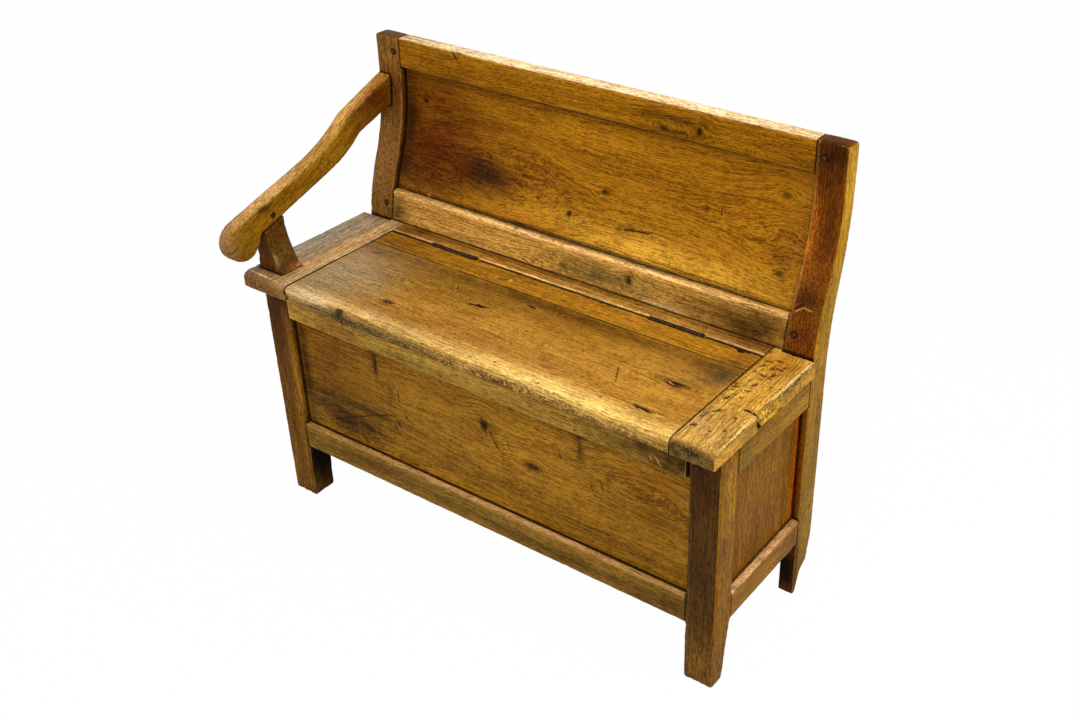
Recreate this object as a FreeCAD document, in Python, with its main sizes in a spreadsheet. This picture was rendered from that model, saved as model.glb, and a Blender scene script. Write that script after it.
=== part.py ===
import FreeCAD, Part
import math
import os
import re
import Sketcher

# A box settle: a joined chest with a hinged lid as its seat, a panelled back and one arm.
# Bench directions: X runs left to right seen from the front, Y from front to back, Z up.
# Outlines are drawn with y = 0 at the front posts' face, x = 0 midway between the posts and
# z = 0 on the floor. Every placement then moves the bench so that the origin lies on the
# floor under the middle of its outer box.

os.makedirs("parts", exist_ok=True)

SIZES = {
    # Whole bench
    "bench_width": 926.0,
    "seat_height": 470.0,
    "back_rise": 324.0,
    "back_post_front": 264.5,
    # Posts
    "post_width": 54.0,
    "front_post_depth": 50.0,
    "back_post_depth": 52.5,
    "front_foot_height": 113.0,
    "front_foot_taper_right": 18.0,
    "front_foot_taper_left": 2.0,
    "back_foot_depth": 9.0,
    "back_instep_height": 39.0,
    "back_instep_inset": 31.0,
    "back_heel_height": 52.0,
    "back_heel_inset": 10.0,
    "back_foot_height": 104.0,
    "back_foot_width": 29.5,
    "back_foot_pare_height": 80.0,
    # Sway of the stiles above the seat
    "bend_below_seat": 49.0,
    "bend_below_top": 67.0,
    "back_lean": 62.0,
    "stile_top_depth": 32.5,
    # Framed rails of the box
    "rail_thickness": 28.0,
    "front_rail_low": 113.5,
    "front_rail_height": 52.0,
    "side_rail_low": 111.0,
    "side_rail_height": 51.5,
    "top_rail_height": 56.5,
    "top_rail_shoulder_gap": 4.5,
    # Panels, grooves and tenons
    "panel_thickness": 10.0,
    "front_recess": 13.0,
    "side_recess": 14.5,
    "groove_depth": 8.0,
    "panel_slack": 1.0,
    "joint_clearance": 0.15,
    "front_tenon": 30.0,
    "side_tenon": 22.0,
    "tenon_shoulder": 9.0,
    "arris": 2.0,
    # Seat boards
    "seat_thickness": 29.0,
    "seat_overhang": 30.0,
    "left_overhang": 13.3,
    "right_overhang": 5.6,
    "left_end_width": 100.3,
    "right_end_width": 75.0,
    "nose_top_radius": 12.0,
    "nose_low_radius": 4.0,
    "end_rounding": 1.8,
    "lid_gap": 0.8,
    "lid_lift": 0.3,
    "lid_rear": 233.5,
    "lid_seam": 184.0,
    "lid_chip_radius": 12.0,
    "lid_chip_offset": 4.0,
    "lid_chip_drop": 20.0,
    "lid_chip_depth": 22.0,
    "edge_chip_start": 104.0,
    "edge_chip_length": 46.0,
    "edge_chip_depth": 7.0,
    "edge_chip_drop": 19.0,
    # Lid battens
    "batten_width": 42.0,
    "batten_thickness": 20.0,
    "batten_inset": 130.0,
    "batten_front": 42.0,
    "batten_rear_gap": 10.0,
    # Backrest
    "rail_setback": 1.0,
    "bottom_rail_height": 55.0,
    "crest_rail_height": 54.0,
    "crest_rounding": 4.0,
    "back_recess": 13.0,
    "back_tenon_thickness": 9.0,
    "back_tenon_set": 3.0,
    # Arm
    "arm_thickness": 29.0,
    "arm_nose_reach": 42.5,
    "arm_nose_drop": 253.0,
    "arm_nose_radius": 34.0,
    "arm_pitch": 17.0,
    "arm_straight": 170.0,
    "arm_dip_radius": 296.0,
    "arm_dip_turn": 22.75,
    "arm_crook_radius": 8.0,
    "arm_low_pitch": 18.2,
    "arm_low_straight": 182.6,
    "arm_low_dip_radius": 209.0,
    "arm_low_dip_turn": 23.0,
    "arm_knee_radius": 14.0,
    "arm_root_drop": 69.0,
    "arm_root_depth": 56.0,
    "arm_rounding": 4.0,
    "arm_tenon_thickness": 10.0,
    "arm_tenon_height": 32.0,
    "support_depth": 45.0,
    "support_base": 58.0,
    "support_spare": 1.5,
    "support_tenon_inset": 8.0,
    "support_tenon_rise": 30.0,
    "support_tenon_width": 24.0,
    "support_tenon_seat": 5.0,
    # Pegs
    "peg_radius": 4.5,
    "peg_proud": 0.8,
    "peg_length": 31.0,
    "peg_inset": 13.5,
    "peg_clearance": 0.1,
    # Hinges
    "hinge_length": 98.0,
    "hinge_left_inset": 98.0,
    "hinge_right_inset": 111.0,
    "hinge_gap": 3.4,
    "hinge_drop": 1.5,
    "knuckle_radius": 3.8,
    "knuckle_gap": 0.4,
    "pin_radius": 2.0,
    "pin_clearance": 0.1,
    "leaf_thickness": 2.0,
    "leaf_height": 24.0,
    "leaf_gap": 0.5,
    "recess_clearance": 0.6,
    "recess_overrun": 7.0,
    # Wood screws
    "screw_radius": 1.7,
    "screw_head_radius": 3.4,
    "screw_head_height": 1.7,
    "screw_length": 15.0,
    "screw_clearance": 0.1,
    "screw_margin": 16.0,
    "batten_screw_length": 34.0,
    # Bottom of the box
    "ledger_width": 18.0,
    "ledger_height": 18.0,
    "ledger_low": 122.0,
    "floor_thickness": 12.0,
    "floor_clearance": 0.3,
}
FLOOR_BOARDS = 5
KNUCKLES = 5
SCREWS_PER_LEAF = 3

doc = FreeCAD.newDocument("settle_bench")
sheet = doc.addObject("Spreadsheet::Sheet", "Sizes")
for row, (alias, amount) in enumerate(SIZES.items(), 1):
    sheet.set(f"A{row}", alias)
    sheet.set(f"B{row}", str(amount))
    sheet.setAlias(f"B{row}", alias)
doc.recompute()
worked_out_names = []


def formula(text):
    """An expression on the sheet, from words that name its sizes."""
    names = (*SIZES, *worked_out_names)
    return re.sub(r"[a-z][a-z_]*", lambda word: ("Sizes." if word[0] in names else "") + word[0], str(text))


def size(text):
    """The present value of an expression, in millimetres."""
    return float(sheet.evalExpression(formula(text)))


def worked_out(alias, text):
    """Keeps a length that follows from others on the sheet, and returns its name."""
    worked_out_names.append(alias)
    row = len(worked_out_names)
    sheet.set(f"C{row}", alias)
    sheet.set(f"D{row}", f"={text}")
    sheet.setAlias(f"D{row}", alias)
    doc.recompute()
    return alias


# Places that several pieces share
HALF = "(bench_width / 2)"
POST_INNER = "(bench_width / 2 - post_width)"
RAIL_RUN = "(bench_width - 2 * post_width)"
SIDE_RUN = "(back_post_front - front_post_depth)"
POST_REAR = "(back_post_front + back_post_depth)"
UNDERSIDE = "(seat_height - seat_thickness)"
TOP_RAIL_LOW = f"({UNDERSIDE} - top_rail_height)"
BACK_HEIGHT = "(seat_height + back_rise)"
BEND_LOW = "(seat_height - bend_below_seat)"
BEND_HIGH = f"({BACK_HEIGHT} - bend_below_top)"
STILE_FRONT_TOP = "(back_post_front + back_lean)"
STILE_REAR_TOP = f"({STILE_FRONT_TOP} + stile_top_depth)"
BEND_MIDDLE = f"(({BEND_LOW} + {BEND_HIGH}) / 2)"
SEAT_LEFT = f"(-{HALF} - left_overhang)"
SEAT_RIGHT = f"({HALF} + right_overhang)"
LID_LEFT = f"({SEAT_LEFT} + left_end_width)"
LID_RIGHT = f"({SEAT_RIGHT} - right_end_width)"
AXIS_Y = "(lid_rear + hinge_gap / 2)"
AXIS_Z = "(seat_height - hinge_drop)"
HINGE_LEFT = f"({LID_LEFT} + hinge_left_inset)"
HINGE_RIGHT = f"({LID_RIGHT} - hinge_right_inset - hinge_length)"
HINGES = {"left": HINGE_LEFT, "right": HINGE_RIGHT}
CREST_LOW = f"({BACK_HEIGHT} - crest_rail_height)"
BOTTOM_RAIL_TOP = "(seat_height + bottom_rail_height)"
ARM_FRONT = "(-arm_nose_reach - arm_nose_radius)"
CENTRE_X = "((right_overhang - left_overhang) / 2)"
CENTRE_Y = f"(({STILE_REAR_TOP} + {ARM_FRONT}) / 2)"
LEFT, RIGHT = -1, 1


def place(thing, x="0", y="0", z="0", turn=0):
    """Puts a piece's own origin at a point of the bench, turned about the vertical."""
    thing.Placement = FreeCAD.Placement(FreeCAD.Vector(), FreeCAD.Rotation(FreeCAD.Vector(0, 0, 1), turn))
    thing.setExpression("Placement.Base.x", formula(f"{x} - {CENTRE_X}"))
    thing.setExpression("Placement.Base.y", formula(f"{y} - {CENTRE_Y}"))
    thing.setExpression("Placement.Base.z", formula(z))


def piece(label, x="0", y="0", z="0", turn=0):
    """A new body for one piece of the bench."""
    body = doc.addObject("PartDesign::Body", label)
    body.Label = label
    place(body, x, y, z, turn)
    return body


def new_sketch(body, name, role, level="0"):
    """A sketch on one of the body's own planes, lifted along that plane's normal."""
    sketch = body.newObject("Sketcher::SketchObject", name)
    plane = next(part for part in body.Origin.OriginFeatures if part.Role == role)
    sketch.AttachmentSupport = [(plane, "")]
    sketch.MapMode = "FlatFace"
    sketch.setExpression("AttachmentOffset.Base.z", formula(level))
    return sketch


def bound(sketch, kind, ends, text):
    """Adds one dimension to a sketch and binds it to the sheet."""
    index = sketch.addConstraint(Sketcher.Constraint(kind, *ends, size(text)))
    sketch.setExpression(f"Constraints[{index}]", formula(text))


def arc_between(start, end, radius, side):
    """An arc from start to end whose centre is on the left (1) or right (-1) of that way."""
    chord = end.sub(start)
    normal = FreeCAD.Vector(-chord.y, chord.x, 0).normalize()
    reach = math.sqrt(radius ** 2 - (chord.Length / 2) ** 2)
    centre = start.add(end).multiply(0.5).add(normal.multiply(side * reach))
    first, last = (start, end) if side > 0 else (end, start)
    angles = [math.atan2(point.y - centre.y, point.x - centre.x) for point in (first, last)]
    circle = Part.Circle(centre, FreeCAD.Vector(0, 0, 1), radius)
    return Part.ArcOfCircle(circle, *angles)


def outline(sketch, points, bends=None):
    """Draws a closed outline through points; bends give a radius and side for curved edges."""
    bends = bends or {}
    corners = [FreeCAD.Vector(size(across), size(up), 0) for across, up in points]
    starts = []
    ends = []
    for index, corner in enumerate(corners):
        following = corners[(index + 1) % len(corners)]
        if index in bends:
            radius, side = bends[index]
            edge = sketch.addGeometry(arc_between(corner, following, size(radius), side))
            starts.append((edge, 1 if side > 0 else 2))
            ends.append((edge, 2 if side > 0 else 1))
            bound(sketch, "Radius", (edge,), radius)
        else:
            edge = sketch.addGeometry(Part.LineSegment(corner, following))
            starts.append((edge, 1))
            ends.append((edge, 2))
    for index, (across, up) in enumerate(points):
        sketch.addConstraint(Sketcher.Constraint("Coincident", *ends[index - 1], *starts[index]))
        bound(sketch, "DistanceX", (-1, 1, *starts[index]), across)
        bound(sketch, "DistanceY", (-1, 1, *starts[index]), up)


def bar(body, name, points, long, bends=None, start="0"):
    """Pads a side outline (front to back, up) along the body's X."""
    sketch = new_sketch(body, f"{name}_side", "YZ_Plane", start)
    outline(sketch, points, bends)
    pad = body.newObject("PartDesign::Pad", name)
    pad.Profile = sketch
    pad.setExpression("Length", formula(long))
    sketch.Visibility = False
    return pad


def channel(body, name, points, long, bends=None, start="0"):
    """Cuts a side outline out of the body along its X, from start."""
    sketch = new_sketch(body, f"{name}_side", "YZ_Plane", start)
    outline(sketch, points, bends)
    doc.recompute()
    before = body.Shape.Volume
    pocket = body.newObject("PartDesign::Pocket", name)
    pocket.Profile = sketch
    pocket.Reversed = True
    pocket.setExpression("Length", formula(long))
    doc.recompute()
    if pocket.Shape.Volume >= before:
        raise RuntimeError(f"{name} cuts nothing from {body.Label}")
    return pocket


def block(body, name, corner, sides, kind="Subtractive"):
    """Cuts or adds a box with its low corner and its sides along X, Y and Z."""
    box = body.newObject(f"PartDesign::{kind}Box", name)
    for axis, text in zip("xyz", corner):
        box.setExpression(f"Placement.Base.{axis}", formula(text))
    for property_name, text in zip(("Length", "Width", "Height"), sides):
        box.setExpression(property_name, formula(text))
    return box


TURNS = {
    "X": FreeCAD.Rotation(FreeCAD.Vector(0, 1, 0), 90),
    "Y": FreeCAD.Rotation(FreeCAD.Vector(1, 0, 0), -90),
    "Z": FreeCAD.Rotation(),
}


def rod(body, name, along, start, radius, long, kind="Subtractive"):
    """Drills or adds a round bar along an axis of the body."""
    bore = body.newObject(f"PartDesign::{kind}Cylinder", name)
    bore.Placement = FreeCAD.Placement(FreeCAD.Vector(), TURNS[along])
    for axis, text in zip("xyz", start):
        bore.setExpression(f"Placement.Base.{axis}", formula(text))
    bore.setExpression("Radius", formula(radius))
    bore.setExpression("Height", formula(long))
    return bore


def edges_where(feature, test):
    """Names of a feature's edges that pass a test on the edge."""
    return [f"Edge{index}" for index, edge in enumerate(feature.Shape.Edges, 1) if test(edge)]


def soften(body, name, radius, test):
    """Rounds the edges of the body's last feature that pass a test."""
    doc.recompute()
    last = body.Tip
    names = edges_where(last, test)
    if not names:
        raise RuntimeError(f"{name} finds no edge on {body.Label}")
    fillet = body.newObject("PartDesign::Fillet", name)
    fillet.Base = (last, names)
    fillet.setExpression("Radius", formula(radius))
    doc.recompute()
    if fillet.State and ("Invalid" in fillet.State or "Error" in fillet.State):
        raise RuntimeError(f"{name} fails on {body.Label}")
    return fillet


def near(value, target):
    """Whether two lengths agree to a hundredth of a millimetre."""
    return abs(value - target) < 0.01


def runs_along(edge, axis, **at):
    """Whether a straight edge runs along an axis at the given coordinates."""
    if edge.Curve.TypeId != "Part::GeomLine":
        return False
    direction = edge.Vertexes[-1].Point.sub(edge.Vertexes[0].Point)
    if not near(abs(getattr(direction, axis)), direction.Length):
        return False
    return all(near(getattr(edge.CenterOfMass, name), value) for name, value in at.items())


# Sway of the stiles: two equal arcs, upright at both ends
def sway_radius(low_y, high_y):
    """Radius of the two arcs that carry a face from low_y to high_y."""
    return f"((({BEND_HIGH} - {BEND_LOW})^2 + ({high_y} - {low_y})^2) / (4 * ({high_y} - {low_y})))"


FRONT_SWAY = sway_radius("back_post_front", STILE_FRONT_TOP)
REAR_SWAY = sway_radius(POST_REAR, STILE_REAR_TOP)


def stile_face_low(height):
    """The stile's front face at a height on its lower arc."""
    return f"(back_post_front + {FRONT_SWAY} - sqrt({FRONT_SWAY}^2 - ({height} - {BEND_LOW})^2))"


def stile_face_high(height):
    """The stile's front face at a height on its upper arc."""
    return f"({STILE_FRONT_TOP} - {FRONT_SWAY} + sqrt({FRONT_SWAY}^2 - ({BEND_HIGH} - {height})^2))"


FACE_MIDDLE = f"((back_post_front + {STILE_FRONT_TOP}) / 2)"


def swayed_strip(low, high, set_back, thick):
    """Side outline of a strip that follows the stile's face at a set-back, and its bends."""
    points = [
        (f"({stile_face_low(low)} + {set_back})", low),
        (f"({stile_face_low(low)} + {set_back} + {thick})", low),
        (f"({FACE_MIDDLE} + {set_back} + {thick})", BEND_MIDDLE),
        (f"({STILE_FRONT_TOP} + {set_back} + {thick})", BEND_HIGH),
        (f"({STILE_FRONT_TOP} + {set_back} + {thick})", high),
        (f"({STILE_FRONT_TOP} + {set_back})", high),
        (f"({STILE_FRONT_TOP} + {set_back})", BEND_HIGH),
        (f"({FACE_MIDDLE} + {set_back})", BEND_MIDDLE),
    ]
    bends = {1: (FRONT_SWAY, -1), 2: (FRONT_SWAY, 1), 6: (FRONT_SWAY, -1), 7: (FRONT_SWAY, 1)}
    return points, bends


def back_panel_slot():
    """The groove that holds the back panel, wider than the panel by the clearance."""
    return swayed_strip(
        f"({BOTTOM_RAIL_TOP} - groove_depth)",
        f"({CREST_LOW} + groove_depth)",
        "back_recess - joint_clearance",
        "(panel_thickness + 2 * joint_clearance)",
    )


# Posts: x is measured from the post's left side, so a cut from the inner face is mirrored
def from_inner(side, start, wide):
    """Local x of a cut that begins at start from the post's inner face."""
    return f"({start})" if side == RIGHT else f"(post_width - ({start}) - ({wide}))"


def post_left_side(side):
    """Where a post's left side stands on the bench."""
    return POST_INNER if side == RIGHT else f"(-{HALF})"


def mortise(body, name, side, inset, deep, low_y, thick, low_z, tall):
    """A slot from the inner face, a clearance larger all round than its tenon."""
    wide = f"({deep} + joint_clearance)"
    corner = (
        from_inner(side, inset, wide),
        f"({low_y}) - joint_clearance",
        f"({low_z}) - joint_clearance",
    )
    block(body, name, corner, (wide, f"{thick} + 2 * joint_clearance", f"({tall}) + 2 * joint_clearance"))


def side_slots(body, side, face_y, towards_front):
    """Mortises and groove for the side frame, cut into a post from the face at face_y."""
    inset = "(post_width - side_recess - panel_thickness)"
    thick = "panel_thickness"
    for name, low, tall in (
        ("side_bottom_mortise", "side_rail_low + tenon_shoulder", "side_rail_height - 2 * tenon_shoulder"),
        ("side_top_mortise", f"{TOP_RAIL_LOW} + tenon_shoulder", "top_rail_height - 2 * tenon_shoulder"),
    ):
        deep = "(side_tenon + joint_clearance)"
        low_y = f"({face_y} - {deep} + joint_clearance)" if towards_front else f"({face_y} + joint_clearance)"
        mortise(body, name, side, inset, thick, low_y, f"({deep} - joint_clearance)", low, tall)
    deep = "groove_depth"
    low_y = f"({face_y} - {deep} + joint_clearance)" if towards_front else f"({face_y} + joint_clearance)"
    low = "side_rail_low + side_rail_height - groove_depth"
    tall = f"({TOP_RAIL_LOW} + groove_depth) - ({low})"
    mortise(body, "side_groove", side, inset, thick, low_y, f"({deep} - joint_clearance)", low, tall)


def frame_slots(body, side, face_y, low_z, rail_height):
    """Mortises and groove for a long frame (front or rear) in a post's inner face."""
    mortise(body, "bottom_mortise", side, "0", "front_tenon", face_y, "panel_thickness",
            f"{low_z} + tenon_shoulder", f"{rail_height} - 2 * tenon_shoulder")
    mortise(body, "top_mortise", side, "0", "front_tenon", face_y, "panel_thickness",
            f"{TOP_RAIL_LOW} + tenon_shoulder", "top_rail_height - 2 * tenon_shoulder")
    low = f"({low_z} + {rail_height} - groove_depth)"
    mortise(body, "panel_groove", side, "0", "groove_depth", face_y, "panel_thickness",
            low, f"{TOP_RAIL_LOW} + groove_depth - {low}")


def peg_hole(body, name, x, y, z, long="peg_length"):
    """A hole for a peg driven from the front."""
    rod(body, name, "Y", (x, f"({y}) - peg_proud - 1", z), "peg_radius + peg_clearance",
        f"({long}) + 1 + peg_clearance")


TOP_PEG_Z = f"({TOP_RAIL_LOW} + top_rail_height / 2)"
CREST_PEG_Z = f"({BACK_HEIGHT} - crest_rail_height / 2)"
LOW_PEG_Z = "(seat_height + bottom_rail_height / 2)"
LOW_PEG_Y = stile_face_low(LOW_PEG_Z)
SUPPORT_TENON_X = "((arm_thickness - arm_tenon_thickness) / 2)"
SUPPORT_TENON_Y = "support_tenon_inset"
SUPPORT_TENON_DEEP = "(support_depth - 2 * support_tenon_inset)"


def front_post(side):
    """A front leg with a foot that tapers towards the front."""
    word = "right" if side == RIGHT else "left"
    body = piece(f"front_post_{word}", post_left_side(side))
    points = [
        ("0", "0"),
        (f"(front_post_depth - front_foot_taper_{word})", "0"),
        ("front_post_depth", "front_foot_height"),
        ("front_post_depth", UNDERSIDE),
        ("0", UNDERSIDE),
    ]
    bar(body, "leg", points, "post_width")
    width = size("post_width")
    soften(body, "leg_arrises", "arris", lambda edge: runs_along(edge, "z", y=0)
           and (near(edge.CenterOfMass.x, 0) or near(edge.CenterOfMass.x, width)))
    frame_slots(body, side, "front_recess", "front_rail_low", "front_rail_height")
    side_slots(body, side, "front_post_depth", True)
    peg_hole(body, "rail_peg_hole", from_inner(side, "peg_inset", "0"), "0", TOP_PEG_Z)
    if side == LEFT:
        block(body, "support_seat", (
            "(support_base - support_tenon_width) / 2 - joint_clearance",
            f"{SUPPORT_TENON_Y} - joint_clearance",
            f"{UNDERSIDE} - support_tenon_seat - joint_clearance",
        ), (
            "support_tenon_width + 2 * joint_clearance",
            f"{SUPPORT_TENON_DEEP} + 2 * joint_clearance",
            "support_tenon_seat + 2 * joint_clearance",
        ))
    return body


def back_post(side):
    """A rear leg that sways back above the seat to carry the backrest."""
    word = "right" if side == RIGHT else "left"
    body = piece(f"back_post_{word}", post_left_side(side))
    points = [
        ("back_post_front", "0"),
        ("(back_post_front + back_foot_depth)", "0"),
        (f"({POST_REAR} - back_instep_inset)", "back_instep_height"),
        (f"({POST_REAR} - back_heel_inset)", "back_heel_height"),
        (POST_REAR, "back_foot_height"),
        (POST_REAR, BEND_LOW),
        (f"(({POST_REAR} + {STILE_REAR_TOP}) / 2)", BEND_MIDDLE),
        (STILE_REAR_TOP, BEND_HIGH),
        (STILE_REAR_TOP, BACK_HEIGHT),
        (STILE_FRONT_TOP, BACK_HEIGHT),
        (STILE_FRONT_TOP, BEND_HIGH),
        (FACE_MIDDLE, BEND_MIDDLE),
        ("back_post_front", BEND_LOW),
    ]
    bends = {5: (REAR_SWAY, -1), 6: (REAR_SWAY, 1), 10: (FRONT_SWAY, -1), 11: (FRONT_SWAY, 1)}
    bar(body, "stile", points, "post_width", bends)
    top = size(BACK_HEIGHT)
    outer = size("post_width") if side == RIGHT else 0.0
    rear = size(STILE_REAR_TOP)
    front = size(STILE_FRONT_TOP)
    soften(body, "top_arrises", "crest_rounding", lambda edge: runs_along(edge, "x", z=top)
           or runs_along(edge, "y", z=top, x=outer))
    soften(body, "upright_arrises", "arris", lambda edge: near(edge.CenterOfMass.x, outer)
           and edge.Length > size("crest_rail_height") / 2
           and (edge.Curve.TypeId != "Part::GeomLine" or near(edge.CenterOfMass.y, front)
                or near(edge.CenterOfMass.y, rear) or near(edge.CenterOfMass.y, size("back_post_front"))
                or near(edge.CenterOfMass.y, size(POST_REAR))))
    rear_face = f"({POST_REAR} - front_recess - panel_thickness)"
    frame_slots(body, side, rear_face, "front_rail_low", "front_rail_height")
    side_slots(body, side, "back_post_front", False)
    mortise(body, "low_back_mortise", side, "0", "front_tenon",
            f"{stile_face_low(BOTTOM_RAIL_TOP)} + rail_setback + back_tenon_set", "back_tenon_thickness",
            "seat_height + tenon_shoulder", "bottom_rail_height - 2 * tenon_shoulder")
    mortise(body, "crest_mortise", side, "0", "front_tenon",
            f"{STILE_FRONT_TOP} + back_recess", "panel_thickness",
            f"{CREST_LOW} + tenon_shoulder", "crest_rail_height - 2 * tenon_shoulder")
    slot, slot_bends = back_panel_slot()
    channel(body, "back_groove", slot, "groove_depth", slot_bends,
            start="0" if side == RIGHT else "post_width - groove_depth")
    inner_foot = [
        ("back_foot_width", "0"),
        ("post_width", "0"),
        ("post_width", "front_rail_low"),
        ("back_foot_width", "back_foot_pare_height"),
    ]
    if side == RIGHT:
        inner_foot = [(f"(post_width - {across})", up) for across, up in inner_foot]
    pare = new_sketch(body, "foot_pare_front", "XZ_Plane", "-back_post_front")
    outline(pare, inner_foot)
    cut = body.newObject("PartDesign::Pocket", "foot_pare")
    cut.Profile = pare
    cut.setExpression("Length", formula("back_post_depth"))
    doc.recompute()
    peg_x = from_inner(side, "peg_inset", "0")
    peg_hole(body, "crest_peg_hole", peg_x, STILE_FRONT_TOP, CREST_PEG_Z)
    peg_hole(body, "low_peg_hole", peg_x, LOW_PEG_Y, LOW_PEG_Z)
    if side == LEFT:
        block(body, "arm_mortise", (
            f"{SUPPORT_TENON_X} - joint_clearance",
            f"{stile_face_high(ROOT_LOW)} - 1",
            f"{ROOT_LOW} + (arm_root_depth - arm_tenon_height) / 2 - joint_clearance",
        ), (
            "arm_tenon_thickness + 2 * joint_clearance",
            "side_tenon + joint_clearance + 1",
            "arm_tenon_height + 2 * joint_clearance",
        ))
    return body


# Framed rails: x along the rail, y inwards from the show face, z up from the lower edge
def rail(label, where, run, tall, recess, tenon, grooved_top, shoulder_gap="0", pegs=()):
    """A rail with a panel groove in one edge and a tenon at each end in line with it."""
    body = piece(label, *where)
    slot_low = f"({recess} - joint_clearance)"
    slot_high = f"({recess} + panel_thickness + joint_clearance)"
    thick = "rail_thickness"
    if grooved_top:
        points = [("0", "0"), (thick, "0"), (thick, tall), (slot_high, tall),
                  (slot_high, f"({tall} - groove_depth)"), (slot_low, f"({tall} - groove_depth)"),
                  (slot_low, tall), ("0", tall)]
    else:
        points = [("0", "0"), (slot_low, "0"), (slot_low, "groove_depth"), (slot_high, "groove_depth"),
                  (slot_high, "0"), (thick, "0"), (thick, tall), ("0", tall)]
    bar(body, "length", points, f"({run}) - ({shoulder_gap})")
    edge_z = size(tall) if grooved_top else 0.0
    soften(body, "show_arris", "arris", lambda edge: runs_along(edge, "x", y=0, z=edge_z))
    block(body, "tenons", (f"-{tenon}", recess, "tenon_shoulder"),
          (f"{run} + 2 * {tenon}", "panel_thickness", f"{tall} - 2 * tenon_shoulder"), "Additive")
    for number, x in enumerate(pegs, 1):
        peg_hole(body, f"peg_hole_{number}", x, "0", f"{tall} / 2")
    return body


def panel(label, where, run, low, high, recess):
    """A flat board that floats in the grooves of its frame."""
    body = piece(label, *where)
    tongue = "(groove_depth - panel_slack)"
    points = [(recess, f"({low} - {tongue})"), (f"({recess} + panel_thickness)", f"({low} - {tongue})"),
              (f"({recess} + panel_thickness)", f"({high} + {tongue})"), (recess, f"({high} + {tongue})")]
    bar(body, "board", points, f"{run} + 2 * {tongue}", start=f"-{tongue}")
    return body


def framed_wall(word, where, run, low, bottom_height, recess, tenon, shoulder_gap="0", pegs=()):
    """One wall of the box: a bottom rail, a top rail and the panel between them."""
    x, y, turn = where
    rail(f"{word}_bottom_rail", (x, y, low, turn), run, bottom_height, recess, tenon, True)
    rail(f"{word}_top_rail", (x, y, TOP_RAIL_LOW, turn), run, "top_rail_height", recess, tenon, False,
         shoulder_gap, pegs)
    panel(f"{word}_panel", (x, y, "0", turn), run, f"({low} + {bottom_height})", TOP_RAIL_LOW, recess)


def box_walls():
    """The four framed walls between the posts."""
    pegs = ("-peg_inset", f"{RAIL_RUN} + peg_inset")
    framed_wall("front", (f"-{POST_INNER}", "0", 0), RAIL_RUN, "front_rail_low", "front_rail_height",
                "front_recess", "front_tenon", "top_rail_shoulder_gap", pegs)
    framed_wall("rear", (POST_INNER, POST_REAR, 180), RAIL_RUN, "front_rail_low", "front_rail_height",
                "front_recess", "front_tenon")
    framed_wall("right_side", (HALF, "front_post_depth", 90), SIDE_RUN, "side_rail_low",
                "side_rail_height", "side_recess", "side_tenon")
    framed_wall("left_side", (f"-{HALF}", "back_post_front", -90), SIDE_RUN, "side_rail_low",
                "side_rail_height", "side_recess", "side_tenon")


def box_floor():
    """Two ledgers along the long rails, and the bottom boards that lie on them."""
    ledger_run = f"({RAIL_RUN} - 2 * floor_clearance)"
    for word, y in (("front", "rail_thickness"), ("rear", f"{POST_REAR} - rail_thickness - ledger_width")):
        body = piece(f"{word}_ledger", f"-{POST_INNER} + floor_clearance", y, "ledger_low")
        points = [("0", "0"), ("ledger_width", "0"), ("ledger_width", "ledger_height"), ("0", "ledger_height")]
        bar(body, "strip", points, ledger_run)
    inner = f"({HALF} - rail_thickness - floor_clearance)"
    pitch = f"(2 * {inner} / {FLOOR_BOARDS})"
    board_low = "(ledger_low + ledger_height)"
    board_front = "(rail_thickness + floor_clearance)"
    board_rear = f"({POST_REAR} - rail_thickness - floor_clearance)"
    for number in range(FLOOR_BOARDS):
        body = piece(f"floor_board_{number + 1}", f"-{inner} + {number} * {pitch}", "0", board_low)
        points = [(board_front, "0"), (board_rear, "0"), (board_rear, "floor_thickness"),
                  (board_front, "floor_thickness")]
        wide = f"({pitch} - floor_clearance)"
        bar(body, "board", points, wide)
        notch = f"({inner} - {POST_INNER} + floor_clearance)"
        ends = {0: "-1", FLOOR_BOARDS - 1: f"{wide} - {notch}"}
        if number in ends:
            for name, y, deep in (
                ("front_notch", "0", "front_post_depth + floor_clearance"),
                ("rear_notch", "back_post_front - floor_clearance", "back_post_depth"),
            ):
                block(body, name, (ends[number], y, "-1"), (f"{notch} + 1", deep, "floor_thickness + 2"))


def nosing(body, front_y, low_z, high_z):
    """Rounds the front edge of a seat board: full above, tight below."""
    soften(body, "nose_top", "nose_top_radius", lambda edge: runs_along(edge, "x", y=front_y, z=high_z))
    soften(body, "nose_low", "nose_low_radius", lambda edge: runs_along(edge, "x", y=front_y, z=low_z))


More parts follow.
